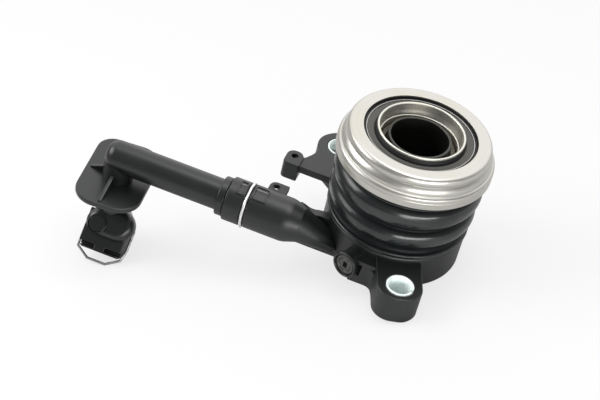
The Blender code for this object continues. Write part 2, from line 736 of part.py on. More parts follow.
def make_thrust_ring(parts):
    """The outer ring, whose flat top meets the fingers of the clutch spring."""
    drop = RACE_R * math.sin(RACE_SPAN)
    crown_z = RING_BOTTOM_Z + RIM_H + SHOULDER_H
    rounding = FACE_Z - crown_z - CROWN_H
    profile = [(FACE_BORE_R, FACE_Z), (FACE_R, FACE_Z)]
    profile += arc(FACE_R, crown_z + CROWN_H, CROWN_W, rounding, math.pi / 3, 0.0, 2)
    profile += [
        (CROWN_R, crown_z + CROWN_FOOT), (SHOULDER_R, crown_z),
        (RIM_R, RING_BOTTOM_Z + RIM_H), (RIM_R, RING_BOTTOM_Z),
        (SKIRT_R, RING_BOTTOM_Z), (SKIRT_R, BALL_Z - drop * OUTER_LAND)]
    profile += arc(PITCH_R, BALL_Z, RACE_R, RACE_R, -RACE_SPAN, RACE_SPAN, 3)
    profile += [(FACE_BORE_R, BALL_Z + drop * OUTER_LAND)]
    turned("thrust_ring", profile, ROUND_STEPS, parts, ((0.66, 0.65, 0.62), 0.3, 1.0))


def ball_place(index):
    angle = math.tau * index / BALL_COUNT
    return Vector((PITCH_R * math.cos(angle), PITCH_R * math.sin(angle), BALL_Z))


def make_balls(parts):
    mesh = bpy.data.meshes.new("ball")
    shape = bmesh.new()
    bmesh.ops.create_uvsphere(shape, u_segments=8, v_segments=5, radius=BALL_R)
    shape.to_mesh(mesh)
    shape.free()
    mesh.shade_smooth()
    mesh.materials.append(make_material("ball", (0.70, 0.70, 0.70), 0.15, 1.0))
    for index in range(BALL_COUNT):
        ball = bpy.data.objects.new(f"ball_{index + 1:02d}", mesh)
        parts.objects.link(ball)
        ball.location = ball_place(index)


def make_cage(parts, tools):
    """A crown cage: a ring under the balls with prongs between them."""
    bottom = BALL_Z - BALL_R - RACE_GAP - CAGE_WEB
    top = BALL_Z + CAGE_PRONG_H
    outer = CAGE_R + CAGE_W
    profile = [(outer, top), (outer, bottom), (CAGE_R, bottom), (CAGE_R, top)]
    cage = turned("ball_cage", profile, ROUND_STEPS, parts, ((0.35, 0.30, 0.18), 0.5, 0.0))
    for index in range(BALL_COUNT):
        turn = Matrix.Rotation(math.tau * index / BALL_COUNT, 4, "Z")
        place = turn @ along_x(CAGE_R - CAGE_W / 2, 0.0, BALL_Z)
        cut(cage, cylinder(f"pocket_{index + 1:02d}", BALL_R + RACE_GAP, CAGE_W * 2, place, tools, 10))


def make_seals(parts):
    """The pressed shell with its lip in front, and the rubber ring behind."""
    outer = FACE_BORE_R - SEAT_GAP
    bottom = FACE_Z - SHELL_DROP
    shell = [
        (outer, bottom + SHELL_H), (outer, bottom), (outer - SHELL_W, bottom), (outer - SHELL_W, bottom + SHELL_T),
        (outer - SHELL_T, bottom + SHELL_T), (outer - SHELL_T, bottom + SHELL_H)]
    turned("front_seal_shell", shell, ROUND_STEPS, parts, ((0.60, 0.60, 0.58), 0.3, 1.0))
    lip_bottom = bottom + SHELL_T + SEAT_GAP
    lip_top = lip_bottom + LIP_T
    lip_outer = outer - SHELL_T - SEAT_GAP
    lip_inner = INNER_CUP_R + INNER_CUP_WALL + SLIDE_GAP
    lip = [(lip_outer, lip_top), (lip_outer, lip_bottom), (lip_inner, lip_bottom), (lip_inner, lip_top)]
    turned("front_seal_lip", lip, ROUND_STEPS, parts, ((0.20, 0.20, 0.19), 0.6, 0.0))
    rear_bottom = CARRIER_TOP_Z + SEAT_GAP
    rear_top = rear_bottom + REAR_SEAL_T
    rear = [
        (SKIRT_R - SLIDE_GAP, rear_top), (SKIRT_R - SLIDE_GAP, rear_bottom),
        (INNER_SHOULDER_R + SEAT_GAP, rear_bottom), (INNER_SHOULDER_R + SEAT_GAP, rear_top)]
    turned("rear_seal", rear, ROUND_STEPS, parts, ((0.02, 0.02, 0.02), 0.7, 0.0))


def make_boot(parts):
    """A two-fold rubber boot from the neck of the housing to the rim of the carrier."""
    bead_r = CARRIER_R + SEAT_GAP
    bead_top = CARRIER_TOP_Z - SEAT_GAP
    bead_bottom = bead_top - BOOT_BEAD_H
    foot_r = NECK_R + SEAT_GAP
    foot_bottom = BASE_H + SEAT_GAP
    foot_top = foot_bottom + BOOT_FOOT_H
    inner_groove_r = BOOT_GROOVE_R - BOOT_WALL
    quarter = math.pi / 2
    upper_r, upper_z = BOOT_UPPER_BULGE
    lower_r, lower_z = BOOT_LOWER_BULGE
    profile = [(bead_r, bead_top), (bead_r + BOOT_BEAD_W, bead_top), (bead_r + BOOT_BEAD_W, bead_bottom)]
    profile += arc(BOOT_GROOVE_R, BOOT_UPPER_Z, upper_r, upper_z, quarter, -quarter, 4)
    profile += arc(BOOT_GROOVE_R, BOOT_LOWER_Z, lower_r, lower_z, quarter, -quarter, 4)
    profile += [
        (BOOT_GROOVE_R, foot_top + BOOT_WALL), (foot_r + BOOT_FOOT_W, foot_top),
        (foot_r + BOOT_FOOT_W, foot_bottom), (foot_r, foot_bottom), (inner_groove_r, foot_top + BOOT_WALL)]
    inset = BOOT_WALL / 3
    profile += arc(inner_groove_r, BOOT_LOWER_Z, lower_r, lower_z - inset, -quarter, quarter, 3)
    profile += arc(inner_groove_r, BOOT_UPPER_Z, upper_r, upper_z - inset, -quarter, quarter, 3)
    profile += [(bead_r, bead_bottom)]
    turned("dust_boot", profile, ROUND_STEPS, parts, ((0.012, 0.013, 0.015), 0.28, 0.0))


def make_spring(parts):
    bottom = BASE_H + NECK_H + SEAT_GAP + SPRING_WIRE_R
    top = CARRIER_Z - SEAT_GAP - SPRING_WIRE_R
    count = round(SPRING_TURNS * SPRING_POINTS)
    points = []
    for index in range(count + 1):
        share = index / count
        angle = math.tau * SPRING_TURNS * share
        points.append((SPRING_R * math.cos(angle), SPRING_R * math.sin(angle), bottom + (top - bottom) * share))
    wire("preload_spring", points, SPRING_WIRE_R, parts, ((0.45, 0.45, 0.45), 0.35, 1.0), 1)


def plate_outline():
    left, right = PLATE_X
    near, far = PLATE_Y
    wide = PLATE_CORNER_R
    tight = PLATE_FAR_CORNER_R
    corners = (
        (right - wide, far - wide, wide, 0.0), (left + tight, far - tight, tight, math.pi / 2),
        (left + wide, near + wide, wide, math.pi), (right - wide, near + wide, wide, math.pi * 1.5))
    outline = []
    for x, y, radius, start in corners:
        outline += rounded_corner(x, y, radius, start)
    return outline


def add_gussets(pipe, tools):
    """Two thin ribs that stiffen the plate, one along X and one along Y."""
    low = PLATE_TOP_Z - PLATE_T / 3
    edge = PLATE_TOP_Z + GUSSET_EDGE
    near_tip = PLATE_Y[0] + GUSSET_NEAR_SETBACK - PIPE_Y
    left_tip = PLATE_X[0] + GUSSET_LEFT_SETBACK - PIPE_END_X
    high = PIPE_Z - PIPE_R * 0.7
    stand = Matrix.Rotation(math.pi / 2, 4, "X")
    quarter = Matrix.Rotation(math.pi / 2, 4, "Z")
    at_stub = Matrix.Translation((PIPE_END_X, PIPE_Y, 0.0))
    left = [(0.0, low), (0.0, high), (left_tip, edge), (left_tip, low)]
    join(pipe, flat_piece("left_gusset", left, -GUSSET_T / 2, GUSSET_T / 2, tools, at_stub @ stand))
    near = [(0.0, low), (0.0, high + GUSSET_STEP), (near_tip, edge), (near_tip, low)]
    join(pipe, flat_piece("near_gusset", near, -GUSSET_T / 2, GUSSET_T / 2, tools, at_stub @ quarter @ stand))


def make_pipe(parts, tools):
    """Pipe, stop collar, sealed spigot, elbow, sealing plate and lower stub in one moulding."""
    groove_r = SPIGOT_R + SLIDE_GAP - O_RING_R * 2 - SEAT_GAP * 2
    groove = O_RING_X - BARREL_MOUTH_X
    half = O_RING_R + SEAT_GAP
    clip = CLIP_X - BARREL_MOUTH_X
    clip_half = CLIP_SLOT_R + SEAT_GAP
    clip_r = SPIGOT_R - CLIP_WIRE_R * 2
    far_end = PIPE_END_X - BARREL_MOUTH_X
    profile = [
        (0.0, SPIGOT_LENGTH), (SPIGOT_R, SPIGOT_LENGTH),
        (SPIGOT_R, groove + half), (groove_r, groove + half), (groove_r, groove - half), (SPIGOT_R, groove - half),
        (SPIGOT_R, clip + clip_half), (clip_r, clip + clip_half), (clip_r, clip - clip_half),
        (SPIGOT_R, clip - clip_half), (SPIGOT_R, -SEAT_GAP), (COLLAR_R, -SEAT_GAP),
        (COLLAR_R, -SEAT_GAP - COLLAR_T), (PIPE_R, -SEAT_GAP - COLLAR_T)]
    for radius, height in arc(0.0, 0.0, PIPE_R, PIPE_DOME, 0.0, -math.pi / 2, 4):
        profile.append((max(radius, 0.0), far_end + height))
    pipe = turned("inlet_pipe", profile, SMALL_STEPS, parts, ((0.045, 0.046, 0.048), 0.45, 0.0), closed=False)
    pipe.matrix_world = along_x(BARREL_MOUTH_X, PIPE_Y, PIPE_Z)
    leg_bottom = PLATE_TOP_Z - PLATE_T * 0.6
    stub_bottom = PLATE_TOP_Z - PLATE_T - STUB_LENGTH
    leg_profile = [
        (0.0, PIPE_Z), (PIPE_LEG_R, PIPE_Z), (PIPE_LEG_R, leg_bottom), (STUB_R, leg_bottom),
        (STUB_R, stub_bottom), (0.0, stub_bottom)]
    leg = turned("pipe_leg", leg_profile, SMALL_STEPS, tools, closed=False)
    leg.location = (PIPE_END_X, PIPE_Y, 0.0)
    join(pipe, leg)
    about_leg = Matrix.Translation((PIPE_END_X, PIPE_Y, 0.0))
    plate_turn = about_leg @ Matrix.Rotation(PLATE_TURN, 4, "Z") @ about_leg.inverted()
    plate = flat_piece("sealing_plate", plate_outline(), PLATE_TOP_Z - PLATE_T, PLATE_TOP_Z, tools, plate_turn)
    join(pipe, plate)
    add_gussets(pipe, tools)
    level_length = BARREL_MOUTH_X + SPIGOT_LENGTH - PIPE_END_X
    level = along_x(PIPE_END_X, PIPE_Y, PIPE_Z)
    cut(pipe, cylinder("level_bore", PIPE_BORE_R, level_length * 1.1, level, tools, 8), "MANIFOLD")
    drop_place = Matrix.Translation((PIPE_END_X, PIPE_Y, stub_bottom - PIPE_BORE_R))
    drop_length = PIPE_Z - stub_bottom + PIPE_BORE_R * 2
    cut(pipe, cylinder("drop_bore", PIPE_BORE_R, drop_length, drop_place, tools, 8), "MANIFOLD")


def ring_profile(ring_r, section_r, steps=5):
    """A round section, run down its outer side."""
    points = []
    for step in range(steps):
        angle = math.pi / 2 - math.tau * step / steps
        points.append((ring_r + section_r * math.cos(angle), section_r * math.sin(angle)))
    return points


def make_pipe_ring(parts):
    ring_r = SPIGOT_R + SLIDE_GAP - SEAT_GAP - O_RING_R
    ring = turned("pipe_o_ring", ring_profile(ring_r, O_RING_R), SMALL_STEPS, parts, ((0.02, 0.02, 0.02), 0.6, 0.0))
    ring.matrix_world = along_x(O_RING_X, PIPE_Y, PIPE_Z)


def make_pipe_clip(parts):
    """A sprung wire round the front of the barrel, whose ends reach the spigot's groove."""
    ring_r = BARREL_R - CLIP_GROOVE_DEPTH + SEAT_GAP + CLIP_WIRE_R
    inner = SPIGOT_R - CLIP_WIRE_R
    start = CLIP_END_ANGLE
    sweep = math.tau - CLIP_END_ANGLE * 2
    steps = 12
    polar = [(inner, start)]
    for step in range(steps + 1):
        polar.append((ring_r, start + sweep * step / steps))
    polar.append((inner, start + sweep))
    points = []
    for radius, angle in polar:
        points.append((CLIP_X, PIPE_Y + radius * math.cos(angle), PIPE_Z + radius * math.sin(angle)))
    wire("pipe_clip", points, CLIP_WIRE_R, parts, ((0.75, 0.76, 0.77), 0.25, 1.0))


def connector_frame():
    """Frame of the connector: +Z out of its closed end, -Y toward the clip's bow."""
    return Matrix.Translation(CONNECTOR_AT) @ Matrix.Rotation(TILT, 4, "X")


def make_connector(parts, tools):
    """Tilted socket for the hydraulic line, with the neck that takes the pipe's stub."""
    frame = connector_frame()
    look = ((0.04, 0.042, 0.043), 0.5, 0.0)
    edge_r, edge_z = CONNECTOR_EDGE
    tail = [
        (0.0, -BLOCK_DROP), (CONNECTOR_TAIL_R, -BLOCK_DROP),
        (CONNECTOR_TAIL_R, -CONNECTOR_LENGTH), (0.0, -CONNECTOR_LENGTH)]
    body = turned("line_connector", tail, 20, parts, look, closed=False)
    socket_axis = frame @ Matrix.Translation((*CONNECTOR_SHIFT, 0.0))
    body.matrix_world = socket_axis
    head_profile = [
        (0.0, 0.0), (CONNECTOR_R - edge_r, 0.0), (CONNECTOR_R, -edge_z), (CONNECTOR_R, -CONNECTOR_HEAD),
        (CONNECTOR_R - CONNECTOR_STEP, -CONNECTOR_HEAD - CONNECTOR_STEP), (0.0, -CONNECTOR_HEAD - CONNECTOR_STEP)]
    head = turned("connector_head", head_profile, 20, tools, closed=False)
    head.matrix_world = frame @ Matrix.Translation((*CONNECTOR_HEAD_AT, 0.0))
    join(body, head)
    boss_x, boss_y = CROWN_BOSS_AT
    boss_place = frame @ Matrix.Translation((boss_x, boss_y, -BLOCK_DROP - BLOCK_H * 0.5))
    boss_length = BLOCK_DROP + BLOCK_H * 0.5 + CROWN_BOSS_RISE
    join(body, cylinder("crown_boss", CROWN_BOSS_R, boss_length, boss_place, tools, 20))
    chamfer_x, chamfer_y = BLOCK_CHAMFER
    block = [
        (-BLOCK_HALF, BLOCK_BACK), (-BLOCK_HALF, -BLOCK_REACH + chamfer_y), (-BLOCK_HALF + chamfer_x, -BLOCK_REACH)]
    block += [(-x, y) for x, y in reversed(block)]
    join(body, flat_piece("clip_block", block, -BLOCK_DROP - BLOCK_H, -BLOCK_DROP, tools, frame))
    neck_top = PLATE_TOP_Z - PLATE_T - SEAT_GAP
    neck_bottom = CONNECTOR_AT.z - CONNECTOR_TAIL_R * 0.1
    neck_place = Matrix.Translation((PIPE_END_X, PIPE_Y, neck_bottom))
    join(body, cylinder("connector_neck", CONNECTOR_NECK_R, neck_top - neck_bottom, neck_place, tools, 20))
    stub_bottom = PLATE_TOP_Z - PLATE_T - STUB_LENGTH
    bore_place = Matrix.Translation((PIPE_END_X, PIPE_Y, stub_bottom - SEAT_GAP))
    cut(body, cylinder("stub_bore", STUB_R + SEAT_GAP, STUB_LENGTH * 2, bore_place, tools, 16))
    socket_place = socket_axis @ Matrix.Translation((0, 0, -CONNECTOR_LENGTH - SOCKET_R))
    socket_top = SOCKET_DEPTH + SOCKET_R
    cut(body, cylinder("line_socket", SOCKET_R, socket_top, socket_place, tools, 20))
    feed_low = Vector((PIPE_END_X, PIPE_Y, CONNECTOR_AT.z - CONNECTOR_TAIL_R))
    feed_length = stub_bottom - feed_low.z + PIPE_BORE_R
    cut(body, cylinder("feed", PIPE_BORE_R, feed_length, Matrix.Translation(feed_low), tools, 8))
    slot_half = LINE_WIRE_R + SEAT_GAP
    slot_z = -LINE_CLIP_DROP
    splay_x, splay_y = LINE_CLIP_SPLAY
    legs = (("left_clip_slot", -1, LINE_CLIP_HALF), ("right_clip_slot", 1, LINE_CLIP_HALF + splay_x))
    for name, side, leg_x in legs:
        inner = side * (leg_x - LINE_WIRE_R - SEAT_GAP)
        outer = side * (leg_x + BLOCK_HALF)
        low = (min(inner, outer), -BLOCK_REACH * 2, slot_z - slot_half)
        high = (max(inner, outer), CONNECTOR_TAIL_R * 2, slot_z + slot_half)
        cut(body, box(name, low, high, tools, frame), "MANIFOLD")
    slit_end = BLOCK_HALF + SLIT_OVERSHOOT
    slit_y = -BLOCK_REACH + SLIT_INSET
    for name, low_x, high_x in (("left_slit", -slit_end, SLIT_LEFT_X), ("right_slit", SLIT_RIGHT_X, slit_end)):
        low = (low_x, slit_y - SLIT_HALF, -BLOCK_DROP - SLIT_BELOW)
        high = (high_x, slit_y + SLIT_HALF, -BLOCK_DROP + SLIT_OVERSHOOT)
        cut(body, box(name, low, high, tools, frame))


def make_line_ring(parts):
    ring_r = SOCKET_R - SEAT_GAP - O_RING_R
    ring = turned("line_o_ring", ring_profile(ring_r, O_RING_R), SMALL_STEPS, parts, ((0.02, 0.02, 0.02), 0.6, 0.0))
    depth = -CONNECTOR_LENGTH + SOCKET_DEPTH - SEAT_GAP - O_RING_R
    ring.matrix_world = connector_frame() @ Matrix.Translation((*CONNECTOR_SHIFT, depth))


def make_line_clip(parts):
    """A U of wire whose legs lie in the connector's side slots and slide out along -Y.

    The right leg is splayed round the connector's head."""
    half = LINE_CLIP_HALF
    shoulder = LINE_CLIP_BOW - LINE_CLIP_CHAMFER
    splay_x, splay_y = LINE_CLIP_SPLAY
    left_tail, right_tail = LINE_CLIP_TAILS
    outline = [
        (-half, left_tail), (-half, -shoulder), (-LINE_CLIP_FLAT, -LINE_CLIP_BOW),
        (LINE_CLIP_FLAT, -LINE_CLIP_BOW), (half, -shoulder), (half + splay_x, splay_y - shoulder),
        (half + splay_x, right_tail)]
    frame = connector_frame()
    points = [frame @ Vector((x, y, -LINE_CLIP_DROP)) for x, y in outline]
    wire("line_clip", points, LINE_WIRE_R, parts, ((0.35, 0.36, 0.36), 0.35, 1.0))


def main():
    empty_scene()
    parts = new_collection(COLLECTION_NAME)
    tools = new_collection(CUTTER_COLLECTION_NAME)
    make_housing(parts, tools)
    make_sleeve(parts)
    make_bushes(parts)
    make_plug(parts, tools)
    make_piston(parts)
    make_carrier(parts)
    make_inner_ring(parts)
    make_thrust_ring(parts)
    make_balls(parts)
    make_cage(parts, tools)
    make_seals(parts)
    make_boot(parts)
    make_spring(parts)
    make_pipe(parts, tools)
    make_pipe_ring(parts)
    make_pipe_clip(parts)
    make_connector(parts, tools)
    make_line_ring(parts)
    make_line_clip(parts)


main()
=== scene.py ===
# %% [markdown]
# # A hydraulic clutch release bearing
# This lesson dresses a clutch release bearing: an annular slave cylinder that pushes a ball bearing
# against the clutch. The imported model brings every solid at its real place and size. The lesson
# gives each one its fine surface, a material made of nodes, a pale studio and a camera.

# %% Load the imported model
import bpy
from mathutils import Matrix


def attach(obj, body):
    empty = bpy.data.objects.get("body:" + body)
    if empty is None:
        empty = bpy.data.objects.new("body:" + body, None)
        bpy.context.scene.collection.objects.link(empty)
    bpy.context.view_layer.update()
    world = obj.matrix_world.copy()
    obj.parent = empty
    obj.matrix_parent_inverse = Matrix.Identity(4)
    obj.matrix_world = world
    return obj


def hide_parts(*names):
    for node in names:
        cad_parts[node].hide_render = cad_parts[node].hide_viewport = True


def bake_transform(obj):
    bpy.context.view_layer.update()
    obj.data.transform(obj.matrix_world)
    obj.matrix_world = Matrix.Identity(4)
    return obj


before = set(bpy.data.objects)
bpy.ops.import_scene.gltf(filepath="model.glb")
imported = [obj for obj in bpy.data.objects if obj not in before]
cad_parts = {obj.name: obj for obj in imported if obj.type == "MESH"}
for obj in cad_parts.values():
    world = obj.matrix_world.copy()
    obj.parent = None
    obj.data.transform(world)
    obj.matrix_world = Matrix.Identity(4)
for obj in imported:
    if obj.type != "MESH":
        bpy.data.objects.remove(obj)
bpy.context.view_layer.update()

# %% Modules
import math

import bmesh
import bpy
from mathutils import Matrix, Vector

scene = bpy.context.scene
scene.view_settings.view_transform = "Standard"

# %% [markdown]
# ## A rounded outline
# Nearly every piece here starts as an outline with rounded corners. The corners could be computed
# point by point, but a vertex bevel on one flat face rounds them by itself, each with its own radius.

# %% Outline helper
WELD = 0.000002    # points that are closer than this become one


def rounded_face(corners, lay):
    """A flat face. Each corner is (across, up, radius), and lay turns the first two into a point.

    A wider corner gets more segments, from three to twelve.
    """
    shape = bmesh.new()
    points = [shape.verts.new(lay(across, up)) for across, up, _ in corners]
    shape.faces.new(points)
    groups = {}
    for point, corner in zip(points, corners):
        groups.setdefault(corner[2], []).append(point)
    for radius, group in groups.items():
        if radius > 0:
            segments = 3 + min(round(radius * 2000), 9)
            bmesh.ops.bevel(shape, geom=group, offset=radius, segments=segments, profile=0.5,
                            affect="VERTICES", clamp_overlap=True, material=-1)
    return shape


def moved(shape, place):
    bmesh.ops.transform(shape, matrix=place, verts=shape.verts)
    return shape


def tidied(shape, place=None):
    """Weld what coincides, point every face outwards and move the shape to its place."""
    bmesh.ops.remove_doubles(shape, verts=shape.verts, dist=WELD)
    if place is not None:
        moved(shape, place)
    bmesh.ops.recalc_face_normals(shape, faces=shape.faces)
    return shape

# %% [markdown]
# ## Turned, flat and wire pieces
# A lathe piece is an outline spun round Z. A flat moulding is an outline extruded upwards, whose hard
# edges are then bevelled, because a moulded edge is never sharp and only a rounded one catches light.
# A wire is a curve with a bevel depth, made a mesh before it is placed.

# %% Shape helpers
STAND = Matrix.Rotation(math.pi / 2, 4, "X")    # turns an outline's y upwards


def turned(corners, steps, place=None):
    """Spin an outline of (radius, height, rounding) round Z."""
    shape = rounded_face(corners, lambda radius, height: (radius, 0.0, height))
    bmesh.ops.delete(shape, geom=list(shape.faces), context="FACES_ONLY")
    bmesh.ops.spin(shape, geom=shape.verts[:] + shape.edges[:], cent=(0, 0, 0), axis=(0, 0, 1),
                   angle=math.tau, steps=steps, use_merge=True)
    return tidied(shape, place)


def softened(shape, width, segments=2, angle=40):
    """Round every edge that is sharper than the angle."""
    sharp = [edge for edge in shape.edges
             if len(edge.link_faces) == 2 and edge.calc_face_angle() > math.radians(angle)]
    bmesh.ops.bevel(shape, geom=sharp, offset=width, offset_type="OFFSET", segments=segments,
                    profile=0.5, affect="EDGES", clamp_overlap=True, material=-1)
    return shape


def slab(corners, bottom, top, edge, place=None):
    """Extrude an outline of (x, y, rounding) between two heights, and round its edges."""
    shape = rounded_face(corners, lambda x, y: (x, y, bottom))
    made = bmesh.ops.extrude_face_region(shape, geom=list(shape.faces))
    raised = [item for item in made["geom"] if isinstance(item, bmesh.types.BMVert)]
    bmesh.ops.translate(shape, verts=raised, vec=(0, 0, top - bottom))
    tidied(shape)
    if edge > 0:
        softened(shape, edge)
    return tidied(shape, place)


def block(low, high, place=None):
    """A box with sharp edges between two corners."""
    corners = [(low[0], low[1], 0), (high[0], low[1], 0), (high[0], high[1], 0), (low[0], high[1], 0)]
    return slab(corners, low[2], high[2], 0, place)


def rod(radius, length, at, steps):
    """A round bar with sharp edges that stands on the point."""
    outline = [(0, length, 0), (radius, length, 0), (radius, 0, 0), (0, 0, 0)]
    return turned(outline, steps, Matrix.Translation(at))


def worked_out(holder):
    """The object's mesh as a bmesh, with its wire thickness or its modifier applied."""
    bpy.context.view_layer.update()
    graph = bpy.context.evaluated_depsgraph_get()
    shape = bmesh.new()
    shape.from_mesh(bpy.data.meshes.new_from_object(holder.evaluated_get(graph)))
    return shape


def wire(points, radius, resolution=4):
    """A round wire through the points."""
    curve = bpy.data.curves.new("wire", "CURVE")
    curve.dimensions = "3D"
    curve.bevel_depth = radius
    curve.bevel_resolution = resolution
    curve.use_fill_caps = True
    line = curve.splines.new("POLY")
    line.points.add(len(points) - 1)
    for point, at in zip(line.points, points):
        point.co = (*at, 1.0)
    holder = bpy.data.objects.new("wire", curve)
    scene.collection.objects.link(holder)
    shape = worked_out(holder)
    bpy.data.objects.remove(holder)
    return tidied(shape)

# %% [markdown]
# ## Cuts
# A bmesh has no Boolean of its own, so the two shapes become short-lived objects, a Boolean modifier
# works on them, and its result is read back as a new bmesh.

# %% Boolean helper
def cut(shape, tool):
    """Take the tool's room away from the shape."""
    holders = []
    for each in (shape, tool):
        mesh = bpy.data.meshes.new("work")
        each.to_mesh(mesh)
        each.free()
        holder = bpy.data.objects.new("work", mesh)
        scene.collection.objects.link(holder)
        holders.append(holder)
    modifier = holders[0].modifiers.new("work", "BOOLEAN")
    modifier.operation = "DIFFERENCE"
    modifier.solver = "EXACT"
    modifier.object = holders[1]
    result = worked_out(holders[0])
    for holder in holders:
        bpy.data.objects.remove(holder)
    bmesh.ops.remove_doubles(result, verts=result.verts, dist=WELD)
    return result

# %% [markdown]
# ## From shape to piece
# A finished piece keeps its place in its mesh, so that its object stays at the origin. It rides on
# the body that carries it, hides the solids of the imported model that it stands for, and takes its
# material. Weighted normals keep large flat faces flat beside rounded edges.

# %% Piece helper
def piece(name, shape, look, body, stands_for=(), sharp=40, ride=True):
    """Make the object. Edges sharper than the angle stay sharp, and a piece with ride off is left off
    its body.
    """
    mesh = bpy.data.meshes.new(name)
    shape.to_mesh(mesh)
    shape.free()
    mesh.shade_smooth()
    mesh.set_sharp_from_angle(angle=math.radians(sharp))
    mesh.materials.append(look)
    made = bpy.data.objects.new(name, mesh)
    scene.collection.objects.link(made)
    even = made.modifiers.new("even shading", "WEIGHTED_NORMAL")
    even.keep_sharp = True
    if ride:
        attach(made, body)
    if stands_for:
        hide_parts(*stands_for)
    print(name, len(mesh.polygons), "faces")
    return made

# %% [markdown]
# ## Shader maths as Python
# A material's pattern is easier to read as a formula than as a list of links. The class wraps one
# output of a node, and each operator on it adds the Math node that it stands for.

# %% Socket class
class Socket:
    """One output of a node in a material's tree."""

    def __init__(self, tree, output):
        self.tree = tree
        self.output = output

    def maths(self, operation, first, second):
        return add_node(self.tree, "ShaderNodeMath", {"operation": operation}, {0: first, 1: second})

    def __add__(self, other):
        return self.maths("ADD", self, other)

    def __radd__(self, other):
        return self.maths("ADD", other, self)

    def __rsub__(self, other):
        return self.maths("SUBTRACT", other, self)

    def __mul__(self, other):
        return self.maths("MULTIPLY", self, other)

    def __rmul__(self, other):
        return self.maths("MULTIPLY", other, self)

    def __pow__(self, other):
        return self.maths("POWER", self, other)

    def other(self, key):
        """Another output of the same node."""
        return Socket(self.tree, self.output.node.outputs[key])

    def between(self, low, high):
        """0 below low, 1 above high, and smooth between them."""
        return add_node(self.tree, "ShaderNodeMapRange", {"interpolation_type": "SMOOTHSTEP"},
                        {"Value": self, "From Min": low, "From Max": high})


def add_node(tree, kind, settings=None, inputs=None, out=0):
    """Add a node, set its settings first, and then give its inputs values or links."""
    made = tree.nodes.new(kind)
    for key, value in (settings or {}).items():
        setattr(made, key, value)
    for key, value in (inputs or {}).items():
        if isinstance(value, Socket):
            tree.links.new(value.output, made.inputs[key])
        else:
            made.inputs[key].default_value = value
    return Socket(tree, made.outputs[out])

# %% [markdown]
# ## The start of every material
# Patterns read Object coordinates. Every piece's object sits at the origin, so those are plain metres
# in the part's own frame, and the distance from the bearing axis is a short formula.

# %% Material helpers
def new_material(name, colour, roughness, metallic=0.0, **constants):
    """A material with one Principled shader. Returns it, its tree, its shader and its coordinates."""
    material = bpy.data.materials.new(name)
    material.use_nodes = True
    tree = material.node_tree
    shader = tree.nodes["Principled BSDF"]
    shader.inputs["Base Color"].default_value = (*colour, 1.0)
    shader.inputs["Roughness"].default_value = roughness
    shader.inputs["Metallic"].default_value = metallic
    for key, value in constants.items():
        shader.inputs[key.replace("_", " ")].default_value = value
    return material, tree, shader, add_node(tree, "ShaderNodeTexCoord", out="Object")


def noise(tree, at, scale, detail, roughness=0.55):
    return add_node(tree, "ShaderNodeTexNoise", None,
                    {"Vector": at, "Scale": scale, "Detail": detail, "Roughness": roughness})


def line_noise(tree, value, detail, roughness=0.5):
    """Noise in one dimension, so it is the same wherever the value is."""
    return add_node(tree, "ShaderNodeTexNoise", {"noise_dimensions": "1D"},
                    {"W": value, "Scale": 1.0, "Detail": detail, "Roughness": roughness})


def shaded(colour, share):
    return tuple(value * share for value in colour)


def blended(tree, share, first, second):
    """A colour between two colours."""
    def rgba(value):
        return value if isinstance(value, Socket) else (*value, 1.0)
    return add_node(tree, "ShaderNodeMix", {"data_type": "RGBA"},
                    {"Factor": share, "A": rgba(first), "B": rgba(second)}, 2)


def set_bump(tree, shader, height, strength, distance):
    bump = add_node(tree, "ShaderNodeBump", None,
                    {"Height": height, "Strength": strength, "Distance": distance})
    tree.links.new(bump.output, shader.inputs["Normal"])


def around_axis(tree, at):
    """Distance from the bearing axis, and height along it."""
    x = add_node(tree, "ShaderNodeSeparateXYZ", None, {0: at})
    y = x.other("Y")
    return (x * x + y * y) ** 0.5, x.other("Z")

# %% [markdown]
# ## Moulded plastic
# The housing, the pipe and the connector are glass filled nylon: nearly black, half matt, with a fine
# spark-eroded grain, faint flow marks and a few paler scuffs. Grain goes to the bump, flow marks to
# the colour and the roughness.

# %% Plastic
def moulded_plastic(name, colour, roughness, grain=0.25, **constants):
    material, tree, shader, at = new_material(name, colour, roughness, IOR=1.56, **constants)
    flow = noise(tree, at, scale=55.0, detail=4.0)
    fine = noise(tree, at, scale=2600.0, detail=2.0, roughness=0.7)
    scuff = noise(tree, at, scale=420.0, detail=5.0, roughness=0.65).between(0.58, 0.76)
    pale = tuple(value * 1.7 + 0.006 for value in colour)
    base = blended(tree, flow.between(0.35, 0.68), shaded(colour, 0.78), colour)
    tree.links.new(blended(tree, scuff * 0.35, base, pale).output, shader.inputs["Base Color"])
    gloss = roughness - 0.07 + flow * 0.14 + fine * 0.05
    tree.links.new(gloss.output, shader.inputs["Roughness"])
    set_bump(tree, shader, fine * 0.8 + flow * 0.2, grain, 0.00006)
    return material


BLACK = (0.0055, 0.0068, 0.0062)
HOUSING = moulded_plastic("housing_nylon", BLACK, 0.37)
PIPE = moulded_plastic("pipe_nylon", BLACK, 0.32, 0.18)
CONNECTOR = moulded_plastic("connector_nylon", BLACK, 0.27, 0.15)
PLUG = moulded_plastic("plug_nylon", (0.048, 0.047, 0.043), 0.42)
# A near black with little gloss, for sheets that paint the shade inside a hole or a notch.
PAINTED_SHADE = moulded_plastic("painted_shade_nylon", (0.004, 0.004, 0.004), 0.7, 0.1, Specular_IOR_Level=0.1)
# A pale grey for the strips that paint a highlight in the key windows.
PAINTED_HIGHLIGHT = moulded_plastic("key_window_painted_highlight", (0.13, 0.135, 0.13), 0.35, 0.1)
COLLAR = moulded_plastic("carrier_nylon", (0.085, 0.075, 0.048), 0.42, 0.15)
CAGE = moulded_plastic("cage_nylon", (0.30, 0.25, 0.15), 0.45, 0.15)
print("plastics made")
